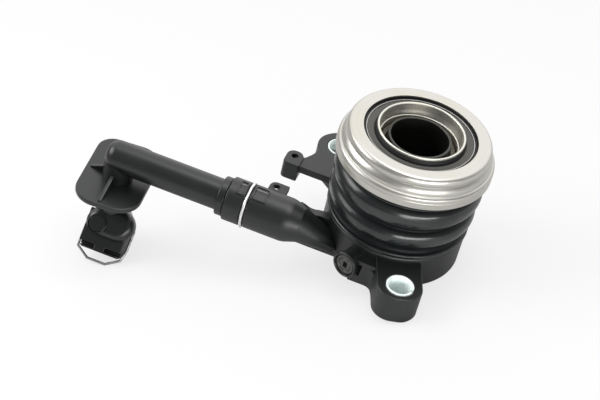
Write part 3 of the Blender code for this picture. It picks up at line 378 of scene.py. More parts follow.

# %% [markdown]
# ## Rubber
# The boot is a soft rubber whose gloss is a coat. The coat's weight grows with the distance from the
# axis: full on the folds, none between them, which paints shade into the valleys. Streaks round the axis
# and worn patches make it uneven. The lip between the rings is a dull grey rubber with faint turning
# lines.

# %% Rubber
def glossy_rubber():
    black, dusty = (0.005, 0.006, 0.0065), (0.022, 0.025, 0.027)
    hollow, crest = 0.0298, 0.0320    # distances from the axis
    material, tree, shader, at = new_material("boot_rubber", black, 0.5, IOR=1.25,
                                              Coat_IOR=1.62, Coat_Roughness=0.21)
    radius, height = around_axis(tree, at)
    slow = noise(tree, at, scale=70.0, detail=3.0)
    fine = noise(tree, at, scale=900.0, detail=4.0, roughness=0.6)
    dust = noise(tree, at, scale=260.0, detail=6.0, roughness=0.7).between(0.55, 0.80)
    tree.links.new(blended(tree, dust * 0.5, black, dusty).output, shader.inputs["Base Color"])
    matt = 0.34 + slow.between(0.35, 0.7) * 0.14 + dust * 0.12
    tree.links.new(matt.output, shader.inputs["Roughness"])
    streaks = line_noise(tree, height * 2400.0 + slow * 3.0, 3.0, 0.7).between(0.42, 0.62)
    worn = noise(tree, at, scale=38.0, detail=3.0).between(0.36, 0.60)
    uneven = 0.45 + worn * 0.35 + streaks * 0.35
    # Full coat on the folds and none between them is painted shade in the valleys; streaks and worn
    # patches make it uneven.
    coat_with_valley_shade = radius.between(hollow, crest) * (1 - dust * 0.3) * uneven
    tree.links.new(coat_with_valley_shade.output, shader.inputs["Coat Weight"])
    set_bump(tree, shader, slow * 0.75 + fine * 0.25, 0.35, 0.0004)
    return material


def dull_rubber(name, colour):
    material, tree, shader, at = new_material(name, colour, 0.6, IOR=1.5)
    radius, _ = around_axis(tree, at)
    lines = line_noise(tree, radius * 5200.0, 2.0)
    tone = blended(tree, lines.between(0.3, 0.7), shaded(colour, 0.8), colour)
    tree.links.new(tone.output, shader.inputs["Base Color"])
    tree.links.new((0.5 + lines * 0.15).output, shader.inputs["Roughness"])
    set_bump(tree, shader, lines, 0.3, 0.00005)
    return material


BOOT = glossy_rubber()
LIP = dull_rubber("lip_rubber", (0.075, 0.073, 0.066))
SEAL = dull_rubber("seal_rubber", (0.006, 0.006, 0.006))
print("rubbers made")

# %% [markdown]
# ## Turned and drawn steel
# The tool that turned the bearing rings left circles round the axis. A one-dimensional noise that
# reads the radius plus the height is constant round the axis, so it draws exactly those circles. It
# feeds the bump and the roughness, and a slow noise adds the warm stain of preserving oil.

# %% Steel
def turned_steel(name, colour, roughness, lines, stain=0.25):
    material, tree, shader, at = new_material(name, colour, roughness, 1.0)
    radius, height = around_axis(tree, at)
    track = (radius + height) * 9000.0
    circles = line_noise(tree, track, 3.0, 0.7)
    broad = line_noise(tree, track * 0.12, 1.0)
    oil = noise(tree, at, scale=60.0, detail=4.0).between(0.45, 0.72)
    warm = tuple(value * share for value, share in zip(colour, (0.90, 0.86, 0.76)))
    tone = blended(tree, oil * stain + broad.between(0.4, 0.7) * stain, colour, warm)
    tree.links.new(tone.output, shader.inputs["Base Color"])
    tree.links.new((roughness - 0.06 + circles * 0.10 + oil * 0.08).output, shader.inputs["Roughness"])
    set_bump(tree, shader, circles * 0.7 + broad * 0.3, lines, 0.00004)
    return material


def plain_steel(name, colour, roughness, scratches=0.3, metallic=1.0):
    material, tree, shader, at = new_material(name, colour, roughness, metallic)
    scratch = noise(tree, at, scale=1500.0, detail=4.0, roughness=0.7)
    patch = noise(tree, at, scale=240.0, detail=3.0)
    tone = blended(tree, patch.between(0.35, 0.7), colour, shaded(colour, 0.82))
    tree.links.new(tone.output, shader.inputs["Base Color"])
    tree.links.new((roughness - 0.05 + scratch * 0.14).output, shader.inputs["Roughness"])
    set_bump(tree, shader, scratch, scratches, 0.00004)
    return material


RING = turned_steel("ring_steel", (0.56, 0.55, 0.515), 0.36, 0.4, 0.35)
INNER = turned_steel("inner_ring_steel", (0.69, 0.68, 0.63), 0.42, 0.3, 0.4)
SHELL = turned_steel("shell_steel", (0.52, 0.52, 0.50), 0.35, 0.25)
SLEEVE = turned_steel("sleeve_steel", (0.075, 0.075, 0.07), 0.40, 0.3)
ZINC = plain_steel("zinc_plate", (0.84, 0.93, 0.91), 0.42, 0.5, metallic=0.05)
BRIGHT = plain_steel("bright_wire", (0.88, 0.88, 0.87), 0.40, 0.1)
GREY_WIRE = plain_steel("grey_wire", (0.42, 0.42, 0.41), 0.35, 0.1)
SPRING = plain_steel("spring_wire", (0.42, 0.42, 0.42), 0.35)
BALLS = plain_steel("ball_steel", (0.75, 0.75, 0.75), 0.12, 0.02)
print("steels made")

# %% [markdown]
# ## The thrust ring
# The outer ring of the bearing turns with the clutch. Its flat face meets the spring fingers, and its
# side steps outwards in a rounded crown, a shallow groove, a shoulder and a wide rim. The solid is
# faceted, so a smooth ring of the same section stands for it.

# %% Thrust ring
piece("thrust_ring_turned", turned([
    (0.0246, 0.0600, 0.0002), (0.0299, 0.0600, 0.0008), (0.0312, 0.0586, 0.0010),
    (0.0312, 0.0568, 0.0006), (0.0309, 0.0561, 0.0004), (0.0316, 0.0553, 0.0005),
    (0.0324, 0.0540, 0.0006), (0.0325, 0.0526, 0.0004), (0.0338, 0.0519, 0.0008),
    (0.0340, 0.0502, 0.0001), (0.03385, 0.0500, 0.0001), (0.0340, 0.0498, 0.0001),
    (0.0340, 0.0466, 0.0005), (0.0280, 0.0465, 0.0002), (0.0280, 0.0497, 0), (0.0261, 0.0505, 0),
    (0.0270, 0.0532, 0.0006), (0.0261, 0.0559, 0), (0.0246, 0.0568, 0)], 180),
    RING, "outer_ring", ["thrust_ring"], 30)

# %% [markdown]
# ## The inner ring and its cup
# The inner ring stays still. Its front edge is drawn out into a thin rolled rim round a deep cup, and
# a second step below it shows as a bright circle.

# %% Inner ring, carrier and sleeve
piece("inner_ring_turned", turned([
    (0.0190, 0.0612, 0.00045), (0.0190, 0.0567, 0.0003), (0.0206, 0.0559, 0),
    (0.0196, 0.0532, 0.0006), (0.0207, 0.0505, 0), (0.0210, 0.0500, 0), (0.0210, 0.0463, 0),
    (0.0167, 0.0463, 0), (0.0167, 0.0556, 0.0002), (0.0171, 0.0556, 0.0002),
    (0.0177, 0.0572, 0.0012), (0.0180, 0.0612, 0.00045)], 180),
    INNER, "piston_unit", ["inner_ring"], 30)
piece("bearing_carrier_turned", turned([
    (0.0164, 0.0530, 0.0004), (0.0164, 0.0460, 0), (0.0275, 0.0460, 0.0003), (0.0275, 0.0427, 0.0003),
    (0.0141, 0.0427, 0), (0.0141, 0.0530, 0.0004)], 144),
    COLLAR, "piston_unit", ["bearing_carrier"], 30)
piece("guide_sleeve_turned", turned([
    (0.0137, 0.0575, 0.0004), (0.0137, 0.0015, 0.0003), (0.0167, 0.0015, 0.0002),
    (0.0167, 0.0, 0.0002), (0.0125, 0.0, 0.0004), (0.0125, 0.0575, 0.0004)], 144),
    SLEEVE, "base", ["guide_sleeve"], 30)

# %% [markdown]
# ## Seal between the rings
# A pressed shell is held in the outer ring and carries a flat rubber lip. From the front it shows as
# a thin bright circle round a grey band. A dark bead closes the gap outside the shell, and an
# upright lip rubs on the inner ring's rim.

# %% Front seal
piece("front_seal_shell_turned", turned([
    (0.0234, 0.0588, 0.00015), (0.0234, 0.0578, 0), (0.0243, 0.0578, 0), (0.0243, 0.0576, 0),
    (0.0212, 0.0576, 0), (0.0212, 0.0580, 0), (0.0230, 0.0580, 0), (0.0230, 0.0588, 0.00015)], 144),
    SHELL, "outer_ring", ["front_seal_shell"], 30)
piece("front_seal_bead", turned([
    (0.02455, 0.0594, 0.0001), (0.02455, 0.0577, 0), (0.02345, 0.0577, 0), (0.02345, 0.0582, 0.0001),
    (0.0243, 0.0583, 0.0003), (0.0244, 0.0594, 0)], 144),
    SEAL, "outer_ring", (), 30)
piece("front_seal_rubbing_lip", turned([
    (0.0197, 0.0577, 0), (0.0197, 0.0588, 0.0003), (0.0192, 0.0603, 0.0001), (0.0191, 0.0603, 0),
    (0.0191, 0.0577, 0)], 144),
    SEAL, "outer_ring", (), 30)
piece("front_seal_lip_turned", turned([
    (0.0229, 0.0585, 0.0002), (0.0229, 0.0581, 0), (0.0197, 0.0576, 0.0002), (0.0197, 0.0582, 0.0002),
    (0.0203, 0.0584, 0.0003), (0.0209, 0.0582, 0.0003)], 144),
    LIP, "outer_ring", ["front_seal_lip"], 30)

# %% [markdown]
# ## The dust boot
# The boot is one moulding with a clamped bead above, two folds and a foot below. Both its inside and
# its outside are in the outline, because a spun shell needs its wall. Its lower end stays with the
# housing and its upper end goes with the piston; here it rides on neither body.

# %% Boot
boot_shape = turned([
    (0.0278, 0.0457, 0.0002), (0.0306, 0.0457, 0.0004), (0.0310, 0.0449, 0.0002),
    (0.0306, 0.0446, 0.0001), (0.0310, 0.0443, 0.0002), (0.0306, 0.0440, 0.0001),
    (0.0310, 0.0437, 0.0002), (0.0310, 0.0430, 0.0003), (0.0297, 0.0425, 0.0003),
    (0.0326, 0.0406, 0.0029), (0.0326, 0.0337, 0.0029), (0.0293, 0.0315, 0.0006),
    (0.0293, 0.0303, 0.0005), (0.0321, 0.0286, 0.0024), (0.0321, 0.0229, 0.0024),
    (0.0292, 0.0212, 0.0006), (0.0292, 0.0192, 0.0005), (0.0300, 0.0181, 0.0004),
    (0.0315, 0.0179, 0.0007), (0.0315, 0.0163, 0.0005), (0.0278, 0.0163, 0),
    (0.0280, 0.0190, 0.0004), (0.0280, 0.0219, 0.0006), (0.0308, 0.0236, 0.0020),
    (0.0308, 0.0279, 0.0020), (0.0281, 0.0300, 0.0005), (0.0281, 0.0319, 0.0005),
    (0.0313, 0.0344, 0.0024), (0.0313, 0.0398, 0.0024), (0.0281, 0.0424, 0.0005)], 192)
dust_boot = piece("dust_boot_moulded", boot_shape, BOOT, "base", ["dust_boot"], 50,
                  ride=False)
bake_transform(dust_boot)

# %% [markdown]
# ## The preload spring
# Inside the boot a wire spring keeps the bearing against the clutch. A helix is a circle that climbs, so
# its points come from one line of maths. Like the boot, it rides on no body.

# %% Spring
spring_bottom, spring_top, spring_r, spring_turns = 0.0204, 0.0413, 0.0252, 3.5
spring_steps = int(spring_turns * 32)
spring_points = []
for step in range(spring_steps + 1):
    share = step / spring_steps
    angle = math.tau * spring_turns * share
    height = spring_bottom + (spring_top - spring_bottom) * share
    spring_points.append((spring_r * math.cos(angle), spring_r * math.sin(angle), height))
spring = piece("preload_spring_wound", wire(spring_points, 0.0011, 3), SPRING, "base",
               ["preload_spring"], 50, ride=False)
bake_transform(spring)

# %% [markdown]
# ## The housing's round base
# The housing is one moulding, so every piece of it stands for the same solid. The cylinder, its neck
# and the base are one lathe shape, whose upper edge has a chamfer under the boot's foot.

# %% Base
def housing_piece(name, shape, sharp=40):
    piece(name, shape, HOUSING, "base", ["housing"], sharp)


housing_piece("housing_base", turned([
    (0.0225, 0.0300, 0.0005), (0.0225, 0.0190, 0.0005), (0.0275, 0.0190, 0.0004), (0.0275, 0.0160, 0),
    (0.0302, 0.0160, 0.0008), (0.0310, 0.0150, 0.0008), (0.0310, 0.0, 0.0005), (0.0170, 0.0, 0.0002),
    (0.0170, 0.0018, 0), (0.0140, 0.0018, 0), (0.0140, 0.0050, 0), (0.0200, 0.0050, 0),
    (0.0200, 0.0300, 0.0004)], 192), 35)

# %% [markdown]
# ## Ears and bushes
# Two ears take the fixing bolts. Each is a flat moulding with a squarish round head, a bored seat and
# a split steel bush that is rolled from strip, so its seam shows as a short notch in the rim.

# %% Ears
CLEAR = 0.00006    # faces of two pieces never lie in one plane, or they would flicker
EAR_ROOT, EAR_TOP = 0.0215, 0.0134
SEAT_R, BUSH_R, BUSH_BORE_R, BUSH_TOP = 0.0063, 0.0060, 0.0045, 0.0137
FRONT_EAR = (0.0446, -71.4)    # reach from the bearing axis, and direction in degrees
REAR_EAR = (0.0468, 139.8)


def about_axis(degrees):
    return Matrix.Rotation(math.radians(degrees), 4, "Z")


def ear(name, reach, degrees, half, head):
    corner = min(half, head) * 0.96
    outline = [(EAR_ROOT, -half, 0), (reach + head, -half, corner), (reach + head, half, corner),
               (EAR_ROOT, half, 0)]
    seat = rod(SEAT_R, 0.016, (reach, 0, -0.001), 96)
    shape = softened(cut(slab(outline, CLEAR, EAR_TOP, 0), seat), 0.0005, 3)
    housing_piece(name, moved(shape, about_axis(degrees)))


def bush(name, reach, degrees, seam_degrees, node):
    shape = turned([(BUSH_R, BUSH_TOP, 0.0003), (BUSH_R, 0.0, 0.0003), (BUSH_BORE_R, 0.0, 0.0004),
                    (BUSH_BORE_R, BUSH_TOP - 0.0015, 0.0010), (0.0053, BUSH_TOP, 0.0002)], 96)
    seam = block((0.0040, -0.0008, 0.0096), (0.0070, 0.0008, 0.0150), about_axis(seam_degrees))
    place = Matrix.Translation(about_axis(degrees) @ Vector((reach, 0, 0)))
    piece(name, moved(cut(shape, seam), place), ZINC, "base", [node])


ear("front_ear", *FRONT_EAR, 0.0098, 0.0086)
ear("rear_ear", *REAR_EAR, 0.0105, 0.0105)
bush("front_bush", *FRONT_EAR, -8, "front_ear_bush")
bush("rear_bush", *REAR_EAR, 60, "rear_ear_bush")

# %% [markdown]
# ## Harness arm and post
# A flat arm off the rear ear ends in a drilled post that carries the vehicle's wiring clip.

# %% Arm
REAR_X, REAR_Y = -0.03575, 0.03021    # centre of the rear ear
POST_X, POST_HALF = -0.0520, 0.0039
POST_BOTTOM, POST_TOP = 0.0054, 0.0144
ARM_T = 0.0038
arm_front, arm_back = 0.0075, 0.0145
arm = slab([
    (POST_X, arm_front, 0), (REAR_X * 0.7, arm_front, 0), (REAR_X * 0.7, REAR_Y, 0),
    (REAR_X - 0.0084, REAR_Y - 0.0042, 0), (REAR_X - 0.0094, REAR_Y - 0.0105, 0.002),
    (POST_X + POST_HALF, arm_back, 0.001), (POST_X, arm_back, 0)],
    EAR_TOP - ARM_T, EAR_TOP - CLEAR, 0.0005)
housing_piece("harness_arm", arm)
post = slab([
    (POST_X - POST_HALF, 0.0060, 0.0022), (POST_X + POST_HALF, 0.0060, 0.0006),
    (POST_X + POST_HALF, 0.0160, 0.0037), (POST_X - POST_HALF, 0.0160, 0.0037)],
    POST_BOTTOM, POST_TOP, 0)
post = cut(post, rod(0.0015, 0.012, (POST_X, 0.0121, 0.0045), 48))
housing_piece("harness_post", softened(post, 0.0004))

# %% [markdown]
# ## The barrel
# The barrel takes the pipe's spigot. It is another lathe shape, turned about Z and then laid along X.
# A groove for the clip runs round it, and it tapers into the duct that leads to the cylinder.

# %% Barrel
PIPE_Y, PIPE_Z = -0.0256, 0.0105
MOUTH_X = -0.0689    # the barrel's open end
CLIP_X = MOUTH_X + 0.0090
along_pipe = Matrix.Translation((MOUTH_X, PIPE_Y, PIPE_Z)) @ Matrix.Rotation(math.pi / 2, 4, "Y")
barrel = turned([
    (0, 0.0338, 0), (0.0077, 0.0338, 0), (0.00835, 0.0318, 0.0010), (0.00975, 0.0278, 0.0016),
    (0.00975, 0.01015, 0.0002), (0.00865, 0.01015, 0), (0.00865, 0.00785, 0),
    (0.00975, 0.00785, 0.0002), (0.00975, 0, 0.0006), (0.0075, 0, 0.0004), (0.0075, 0.0202, 0),
    (0, 0.0202, 0)], 128, along_pipe)
housing_piece("barrel", barrel, 35)

# %% [markdown]
# ## Web between barrel and base
# Behind the cone the barrel runs out in a wedge with a flat slanted top, which ends in two crisp
# ridges. A convex hull makes such a shape from the few points that it has to touch: an arc of the
# cone's end, and a short edge low down at the base. A floor plate, a crest on it and a thin rear rib
# stiffen it.

# %% Wedge
def hull(shape):
    """Wrap the shape's points, and let faces that lie in one plane become one."""
    bmesh.ops.convex_hull(shape, input=shape.verts[:])
    bmesh.ops.dissolve_limit(shape, angle_limit=math.radians(1), verts=shape.verts[:],
                             edges=shape.edges[:])
    return tidied(shape)


WEDGE_X, WEDGE_R, WEDGE_END_X = -0.0356, 0.0078, -0.0182
wedge = bmesh.new()
for degrees in range(6, 321, 8):
    angle = math.radians(degrees)
    wedge.verts.new((WEDGE_X, PIPE_Y - WEDGE_R * math.sin(angle), PIPE_Z + WEDGE_R * math.cos(angle)))
for y, z in ((-0.0251, 0.0054), (-0.0185, 0.0054), (-0.0256, 0.0020), (-0.0170, 0.0020)):
    wedge.verts.new((WEDGE_END_X, y, z))
housing_piece("barrel_wedge", softened(hull(wedge), 0.0003, 2, 50), 50)

# %% Web
web_floor = slab([(-0.0391, -0.0146, 0), (-0.0391, -0.0259, 0.001), (-0.0115, -0.0259, 0),
                  (-0.0115, -0.0146, 0)], CLEAR, 0.0040, 0.0005)
housing_piece("web_floor", web_floor)
web_crest = slab([(-0.0399, -0.0134, 0.001), (-0.0399, -0.0200, 0), (-0.0200, -0.0180, 0),
                  (-0.0200, -0.0134, 0)], 0.0020, 0.0062, 0.0006)
housing_piece("web_crest", web_crest)
rear_rib = slab([(-0.0400, 0.0020, 0), (-0.0200, 0.0020, 0), (-0.0200, 0.0124, 0),
                 (-0.0300, 0.0121, 0.002), (-0.0346, 0.0108, 0.002), (-0.0386, 0.0126, 0.001),
                 (-0.0400, 0.0126, 0)], 0.0134, 0.0176, 0.0004, STAND)
housing_piece("web_rear_rib", rear_rib)

# %% [markdown]
# ## Key pads and tab
# Two keyed pads lie on top of the barrel, on either side of the clip, and follow its round, so each
# is a small outline spun about the barrel's axis. A framed window is an inset pushed inwards, with a
# pale strip at its bottom that is a painted highlight.

# %% Pads
def arc_block(start, end, inner, outer, first, last):
    """A block that follows the barrel's round, between two angles from its top towards the front."""
    shape = bmesh.new()
    points = [shape.verts.new((x, 0.0, radius))
              for x, radius in ((start, inner), (start, outer), (end, outer), (end, inner))]
    shape.faces.new(points)
    turn = Matrix.Rotation(math.radians(first), 3, "X")
    bmesh.ops.rotate(shape, verts=shape.verts, cent=(0, 0, 0), matrix=turn)
    bmesh.ops.spin(shape, geom=shape.faces[:], cent=(0, 0, 0), axis=(1, 0, 0),
                   angle=math.radians(last - first), steps=16)
    bmesh.ops.translate(shape, verts=shape.verts, vec=(0, PIPE_Y, PIPE_Z))
    return tidied(shape)


def key_pad(name, start, end):
    """A framed window with a pale strip that is a painted highlight. Only the pad's outer faces lie
    beyond the top's distance.
    """
    shape = arc_block(start, end, 0.0088, 0.01015, -12.5, 32.5)
    tops = []
    for face in shape.faces:
        middle = face.calc_center_median()
        if math.hypot(middle.y - PIPE_Y, middle.z - PIPE_Z) > 0.0100:
            tops.append(face)
    bmesh.ops.inset_region(shape, faces=tops, thickness=0.0008)
    bmesh.ops.inset_region(shape, faces=tops, thickness=0.0001, depth=-0.0003)
    housing_piece(name, softened(shape, 0.00015, 2, 60))
    # A pale strip along the window's bottom paints its highlight.
    strip = arc_block(start + 0.0004, end - 0.0004, 0.0090, 0.01005, -3, 2)
    piece(name + "_painted_highlight", softened(strip, 0.0001), PAINTED_HIGHLIGHT, "base")


key_pad("outer_key", MOUTH_X + 0.0036, CLIP_X - 0.00145)
key_pad("inner_key", CLIP_X + 0.00145, CLIP_X + 0.00805)
tab = slab([(-0.0549, -0.0178, 0), (-0.0465, -0.0178, 0), (-0.0465, -0.0110, 0.0006),
            (-0.0549, -0.0110, 0.0030)], 0.01355, 0.01605, 0)
tab = cut(tab, rod(0.0015, 0.006, (-0.0517, -0.0142, 0.0120), 40))
housing_piece("barrel_tab", softened(tab, 0.0003))

# %% [markdown]
# ## Boss and plug
# The fluid channel is drilled from outside and closed by a plug. The boss is a short bar in the plane
# of the base, with a wall beside it that reaches to the front ear. The boss is turned in its own
# frame, whose Z points outwards from its face.

# %% Boss
def facing_place(at, forward, upright="Y"):
    """Place whose own Z points forward."""
    return Matrix.Translation(at) @ forward.to_track_quat("Z", upright).to_matrix().to_4x4()


outward = about_axis(247) @ Vector((1, 0, 0))
boss_place = facing_place((-0.0115, -0.0375, 0.0083), outward)
boss = turned([(0, -0.0014, 0), (0.0047, -0.0014, 0.0001), (0.0049, 0.0, 0.0004),
               (0.0060, 0.0, 0.0007), (0.0060, -0.0022, 0.0004), (0.0050, -0.0026, 0),
               (0.0050, -0.0139, 0), (0, -0.0139, 0)], 96, boss_place)
housing_piece("plug_boss", boss, 35)
plug = turned([(0, -0.0007, 0), (0.0026, -0.0007, 0.0002), (0.0029, -0.0011, 0.0001),
               (0.0033, -0.0011, 0.0001), (0.0036, -0.0005, 0.0002), (0.0045, -0.0006, 0.0003),
               (0.0045, -0.0020, 0), (0, -0.0020, 0)], 80, boss_place)
key_low, key_high = (-0.0009, -0.0015, -0.0017), (0.0012, 0.0015)
key_hole = block(key_low, (*key_high, 0.0010), boss_place)
piece("channel_plug_moulded", cut(plug, key_hole), PLUG, "base", ["channel_plug"], 35)
# A black sheet just inside the key hole paints the hole's shade.
hole_painted_shade = block(key_low, (*key_high, -0.0013), boss_place)
piece("plug_hole_painted_shade", hole_painted_shade, PAINTED_SHADE, "base")

# %% Boss wall
wall = slab([(-0.0089, CLEAR * 2, 0.0008), (0.0060, CLEAR * 2, 0), (0.0036, 0.0122, 0.0034),
             (-0.0089, 0.0122, 0.0008)], 0.0220, 0.0362, 0, STAND)
wedge_cut = slab([(-0.0066, 0.0098, 0), (-0.0056, 0.0040, 0), (-0.0045, 0.0046, 0),
                  (-0.0041, 0.0104, 0)], 0.0350, 0.0380, 0, STAND)
housing_piece("boss_wall", softened(cut(wall, wedge_cut), 0.0004))
# A black sheet in the wall's notch paints the notch's shade.
wall_painted_shade = block((-0.0068, -0.0351, 0.0038), (-0.0039, -0.0349, 0.0106))
piece("boss_wall_painted_shade", wall_painted_shade, PAINTED_SHADE, "base")
fillet = slab([(0.0060, -0.0350, 0), (-0.0012, -0.0350, 0), (-0.0012, -0.0362, 0), (0.0002, -0.0364, 0),
               (0.0013, -0.0370, 0), (0.0021, -0.0379, 0), (0.0028, -0.0394, 0), (0.0060, -0.0394, 0)],
              CLEAR * 3, 0.0100, 0.0003)
housing_piece("wall_fillet", fillet)

# %% [markdown]
# ## The clip on the barrel
# The pipe is held by a sprung wire that lies in the barrel's groove. Bent from straight stretches, it
# touches the groove only in places, so from the front it runs in two straight lines.

# %% Pipe clip
def ring_point(radius, degrees):
    angle = math.radians(degrees)
    return CLIP_X, PIPE_Y + radius * math.cos(angle), PIPE_Z + radius * math.sin(angle)


clip_points = [ring_point(*bend) for bend in (
    (0.0064, 40), (0.0098, 40), (0.0098, 66), (0.0098, 92), (0.0102, 134), (0.0097, 166),
    (0.0097, 198), (0.0097, 230), (0.0098, 262), (0.0098, 292), (0.0098, 320), (0.0064, 320))]
piece("pipe_clip_wire", wire(clip_points, 0.0007), BRIGHT, "base", ["pipe_clip"])

# %% [markdown]
# ## The inlet pipe
# Spigot, stop collar and pipe are one lathe shape along X. It ends in a blunt elbow over a round leg,
# which goes down through the sealing plate and plugs into the line connector.

# %% Pipe
def pipe_piece(name, shape, sharp=40):
    piece(name, shape, PIPE, "base", ["inlet_pipe"], sharp)


END_X = -0.1200    # the leg's axis
about_leg = Matrix.Translation((END_X, PIPE_Y, 0))
elbow_end = END_X - MOUTH_X - 0.0060
pipe = turned([
    (0, 0.0190, 0), (0.0072, 0.0190, 0.0004), (0.0072, 0.0152, 0), (0.0051, 0.0152, 0),
    (0.0051, 0.0128, 0), (0.0072, 0.0128, 0), (0.0072, -0.0003, 0), (0.0087, -0.0003, 0.0004),
    (0.0087, -0.0036, 0.0005), (0.0070, -0.0038, 0.0001), (0.0070, elbow_end, 0.0048),
    (0, elbow_end, 0)], 96, along_pipe)
pipe_piece("pipe", pipe, 35)
leg = turned([(0, 0.0105, 0), (0.0068, 0.0105, 0), (0.0068, -0.0010, 0), (0.0049, -0.0020, 0),
              (0.0049, -0.0145, 0.0006), (0, -0.0145, 0)], 80, about_leg)
pipe_piece("pipe_leg", leg, 35)

# %% Plate and ribs
plate_turn = about_leg @ about_axis(5) @ about_leg.inverted()
plate = slab([(-0.1052, -0.0469, 0.0105), (-0.1052, -0.0015, 0.0105), (-0.13495, -0.0015, 0.0080),
              (-0.13495, -0.0469, 0.0105)], -0.0030, -0.0005, 0.0006, plate_turn)
pipe_piece("sealing_plate", plate)
for name, length, height, degrees in (("left_rib", 0.0130, 0.0056, 0), ("near_rib", 0.0198, 0.0066, 90)):
    rib = slab([(0, -0.0010, 0), (0, height, 0), (-length, -0.0001, 0), (-length, -0.0010, 0)],
               -0.0008, 0.0008, 0.0003, about_leg @ about_axis(degrees) @ STAND)
    pipe_piece(name, rib)

# %% [markdown]
# ## The line connector
# The vehicle's hydraulic line plugs in from behind, at forty-five degrees. From the front the
# connector shows its closed end, a round boss on it and a block with slits for the retaining clip.

# %% Connector
def connector_piece(name, shape, sharp=35):
    piece(name, shape, CONNECTOR, "base", ["line_connector"], sharp)


SOCKET_X, SOCKET_Y = -0.0002, 0.0018    # the socket's axis in the connector's frame
connector_place = Matrix.Translation((-0.1187, -0.0353, -0.0197)) @ Matrix.Rotation(math.pi / 4, 4, "X")
head = bmesh.new()
for centre_x, centre_y, radius in ((0.0050, 0.0003, 0.0073), (-0.0036, -0.0009, 0.0061)):
    for height in (0.0, -0.0095):
        place = Matrix.Translation((centre_x, centre_y, height))
        bmesh.ops.create_circle(head, segments=64, radius=radius, matrix=place)
connector_piece("connector_head", tidied(softened(hull(head), 0.0034, 7, 50), connector_place))
tail = turned([(0, -0.0040, 0), (0.0083, -0.0040, 0.0010), (0.0083, -0.0180, 0.0008),
               (0.0062, -0.0180, 0.0006), (0.0062, -0.0060, 0), (0, -0.0060, 0)], 96,
              connector_place @ Matrix.Translation((SOCKET_X, SOCKET_Y, 0)))
connector_piece("connector_tail", tail)
crown = turned([(0, 0.0003, 0), (0.0037, 0.0003, 0.0002), (0.0038, -0.0001, 0.0001),
                (0.0040, -0.0001, 0.0001), (0.0041, 0.0005, 0.0002), (0.0044, 0.0005, 0.0002),
                (0.0046, -0.0045, 0), (0, -0.0045, 0)], 64,
               connector_place @ Matrix.Translation((-0.0036, -0.0023, 0)))
connector_piece("connector_crown", crown)

# %% Connector block
front_block = slab([(-0.0098, 0.0040, 0), (-0.0098, -0.0125, 0), (-0.0078, -0.0140, 0),
                    (0.0078, -0.0140, 0), (0.0098, -0.0125, 0), (0.0098, 0.0040, 0)],
                   -0.0140, -0.0040, 0)
for low_x, high_x in ((-0.0108, -0.0022), (0.0028, 0.0108)):
    front_block = cut(front_block, block((low_x, -0.0130, -0.0090), (high_x, -0.0114, -0.0030)))
socket_room = rod(0.0080, 0.0080, (SOCKET_X, SOCKET_Y, -0.0145), 64)
front_block = softened(cut(front_block, socket_room), 0.0004)
connector_piece("connector_block", moved(front_block, connector_place), 40)
neck = turned([(0.0076, -0.0033, 0.0006), (0.0076, -0.0205, 0.0010), (0.0052, -0.0205, 0),
               (0.0052, -0.0033, 0.0004)], 80, about_leg)
connector_piece("connector_neck", neck)

# %% Line clip
bow = [(-0.0103, 0.0036), (-0.0103, -0.0142), (-0.0043, -0.0180), (0.0043, -0.0180),
       (0.0103, -0.0142), (0.0115, -0.0090), (0.0115, 0.0005)]
clip_line = [connector_place @ Vector((x, y, -0.0085)) for x, y in bow]
piece("line_clip_wire", wire(clip_line, 0.0006), GREY_WIRE, "connector_clip", ["line_clip"])

# %% [markdown]
# ## Finishes for the hidden solids
# The balls, the cage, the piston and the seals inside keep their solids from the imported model. They
# only need their materials, for when the part is taken apart.

# %% Hidden solids
hidden = {"piston": COLLAR, "piston_seal": SEAL, "rear_seal": SEAL, "ball_cage": CAGE,
          "pipe_o_ring": SEAL, "line_o_ring": SEAL}
hidden.update({name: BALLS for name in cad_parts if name.startswith(("ball_0", "ball_1"))})
for name, look in hidden.items():
    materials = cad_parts[name].data.materials
    materials.clear()
    materials.append(look)
print(len(hidden), "solids kept as they are")

# %% [markdown]
# ## Floor, light and camera
# The part lies on a table on its base's rim, its front ear and the connector's clip, so the table
# slopes in the part's own frame. The table is plain white, and glows a little for the camera so that
# it stays white where the part shades it. From below it lets the view through, so that the underside
# can be seen.

# %% Floor
def table_through(first, second, third, size=1.6, gap=0.0006):
    """A square table just below the three points. Returns it and the way that it faces."""
    up = (second - first).cross(third - first).normalized()
    shape = bmesh.new()
    bmesh.ops.create_grid(shape, x_segments=1, y_segments=1, size=size)
    place = facing_place((first + second + third) / 3 - up * gap, up, "X")
    mesh = bpy.data.meshes.new("table")
    moved(shape, place).to_mesh(mesh)
    shape.free()
    made = bpy.data.objects.new("table", mesh)
    scene.collection.objects.link(made)
    return made, up


clip_foot = Vector((-0.1187, -0.0425, -0.0394))
ear_foot = Vector((0.0170, -0.0504, 0.0))
rim_foot = Vector((0.0300, 0.0080, 0.0))
table, table_up = table_through(clip_foot, ear_foot, rim_foot)
GLOW, GLOW_SHARE = 1.06, 0.66
white, tree, shader, _ = new_material("table_white", (0.58, 0.58, 0.58), 0.6, Specular_IOR_Level=0.1)
seen = add_node(tree, "ShaderNodeLightPath", out="Is Camera Ray")
from_below = add_node(tree, "ShaderNodeNewGeometry", out="Backfacing")
clear = add_node(tree, "ShaderNodeBsdfTransparent")
glow = add_node(tree, "ShaderNodeEmission", None, {"Strength": GLOW})
painted = Socket(tree, shader.outputs[0])
lit = add_node(tree, "ShaderNodeMixShader", None, {0: seen * GLOW_SHARE, 1: painted, 2: glow})
mixed = add_node(tree, "ShaderNodeMixShader", None, {0: seen * from_below, 1: lit, 2: clear})
tree.links.new(mixed.output, tree.nodes["Material Output"].inputs["Surface"])
table.data.materials.append(white)
print("table leans by", round(math.degrees(table_up.angle(Vector((0, 0, 1)))), 1), "degrees")

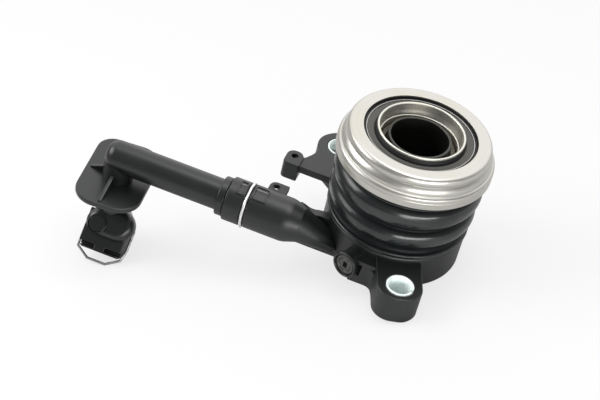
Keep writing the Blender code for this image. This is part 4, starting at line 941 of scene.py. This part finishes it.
# %% [markdown]
# ## The room's light
# The world lights the part evenly. What the part mirrors is another matter: behind it stands a
# bright wall, which the flat tops mirror, and in front the room is dimmer, so that round forms get a
# dark side. Light Path's glossy ray gives those two their own brightness, and the camera sees white.

# %% World
DIM_ROOM, BRIGHT_WALL = 0.26, 1.16    # what glossy rays find in front, and what a wall adds
EVEN_LIGHT = 0.95
world = bpy.data.worlds.new("studio")
scene.world = world
world.use_nodes = True
tree = world.node_tree
backdrop = tree.nodes["Background"]
seen = add_node(tree, "ShaderNodeLightPath", out="Is Camera Ray")
glossy = seen.other("Is Glossy Ray")
toward = add_node(tree, "ShaderNodeTexCoord", out="Generated")
wall_way = Vector((-0.13, 0.75, 0.65)).normalized()
facing = add_node(tree, "ShaderNodeVectorMath", {"operation": "DOT_PRODUCT"},
                  {0: toward, 1: wall_way}, "Value")
mirrored = DIM_ROOM + facing.between(0.30, 0.85) * BRIGHT_WALL
unseen = glossy * mirrored + (1 - glossy) * EVEN_LIGHT
strength = seen + (1 - seen) * unseen
tree.links.new(strength.output, backdrop.inputs["Strength"])
backdrop.inputs["Color"].default_value = (1.0, 1.0, 1.0, 1.0)

# %% Lamps
def soft_lamp(name, at, aim, size, watts):
    lamp = bpy.data.lights.new(name, "AREA")
    lamp.shape = "RECTANGLE"
    lamp.size, lamp.size_y = size
    lamp.energy = watts
    holder = bpy.data.objects.new(name, lamp)
    aimed = (Vector(aim) - Vector(at)).to_track_quat("-Z", "Y").to_matrix().to_4x4()
    holder.matrix_world = Matrix.Translation(at) @ aimed
    scene.collection.objects.link(holder)


soft_lamp("overhead", (0.02, 0.05, 0.75), (-0.02, 0, 0.03), (0.5, 0.35), 1.6)
soft_lamp("left_fill", (-0.65, -0.15, 0.34), (-0.03, 0, 0.02), (0.45, 0.35), 2.6)
soft_lamp("front_fill", (0.46, -0.60, 0.12), (0, 0, 0.02), (0.70, 0.40), 7.0)
print("lamps made")

# %% Camera
lens = bpy.data.cameras.new("camera")
lens.lens = 96.0
lens.sensor_width = 36.0
camera = bpy.data.objects.new("camera", lens)
stands_at = (0.0494, -0.5343, 0.4621)
right, up, back = (0.9280, 0.3220, 0.1875), (-0.3492, 0.5766, 0.7387), (0.1297, -0.7510, 0.6475)
camera.matrix_world = Matrix.Translation(stands_at) @ Matrix((right, up, back)).transposed().to_4x4()
scene.collection.objects.link(camera)
scene.camera = camera
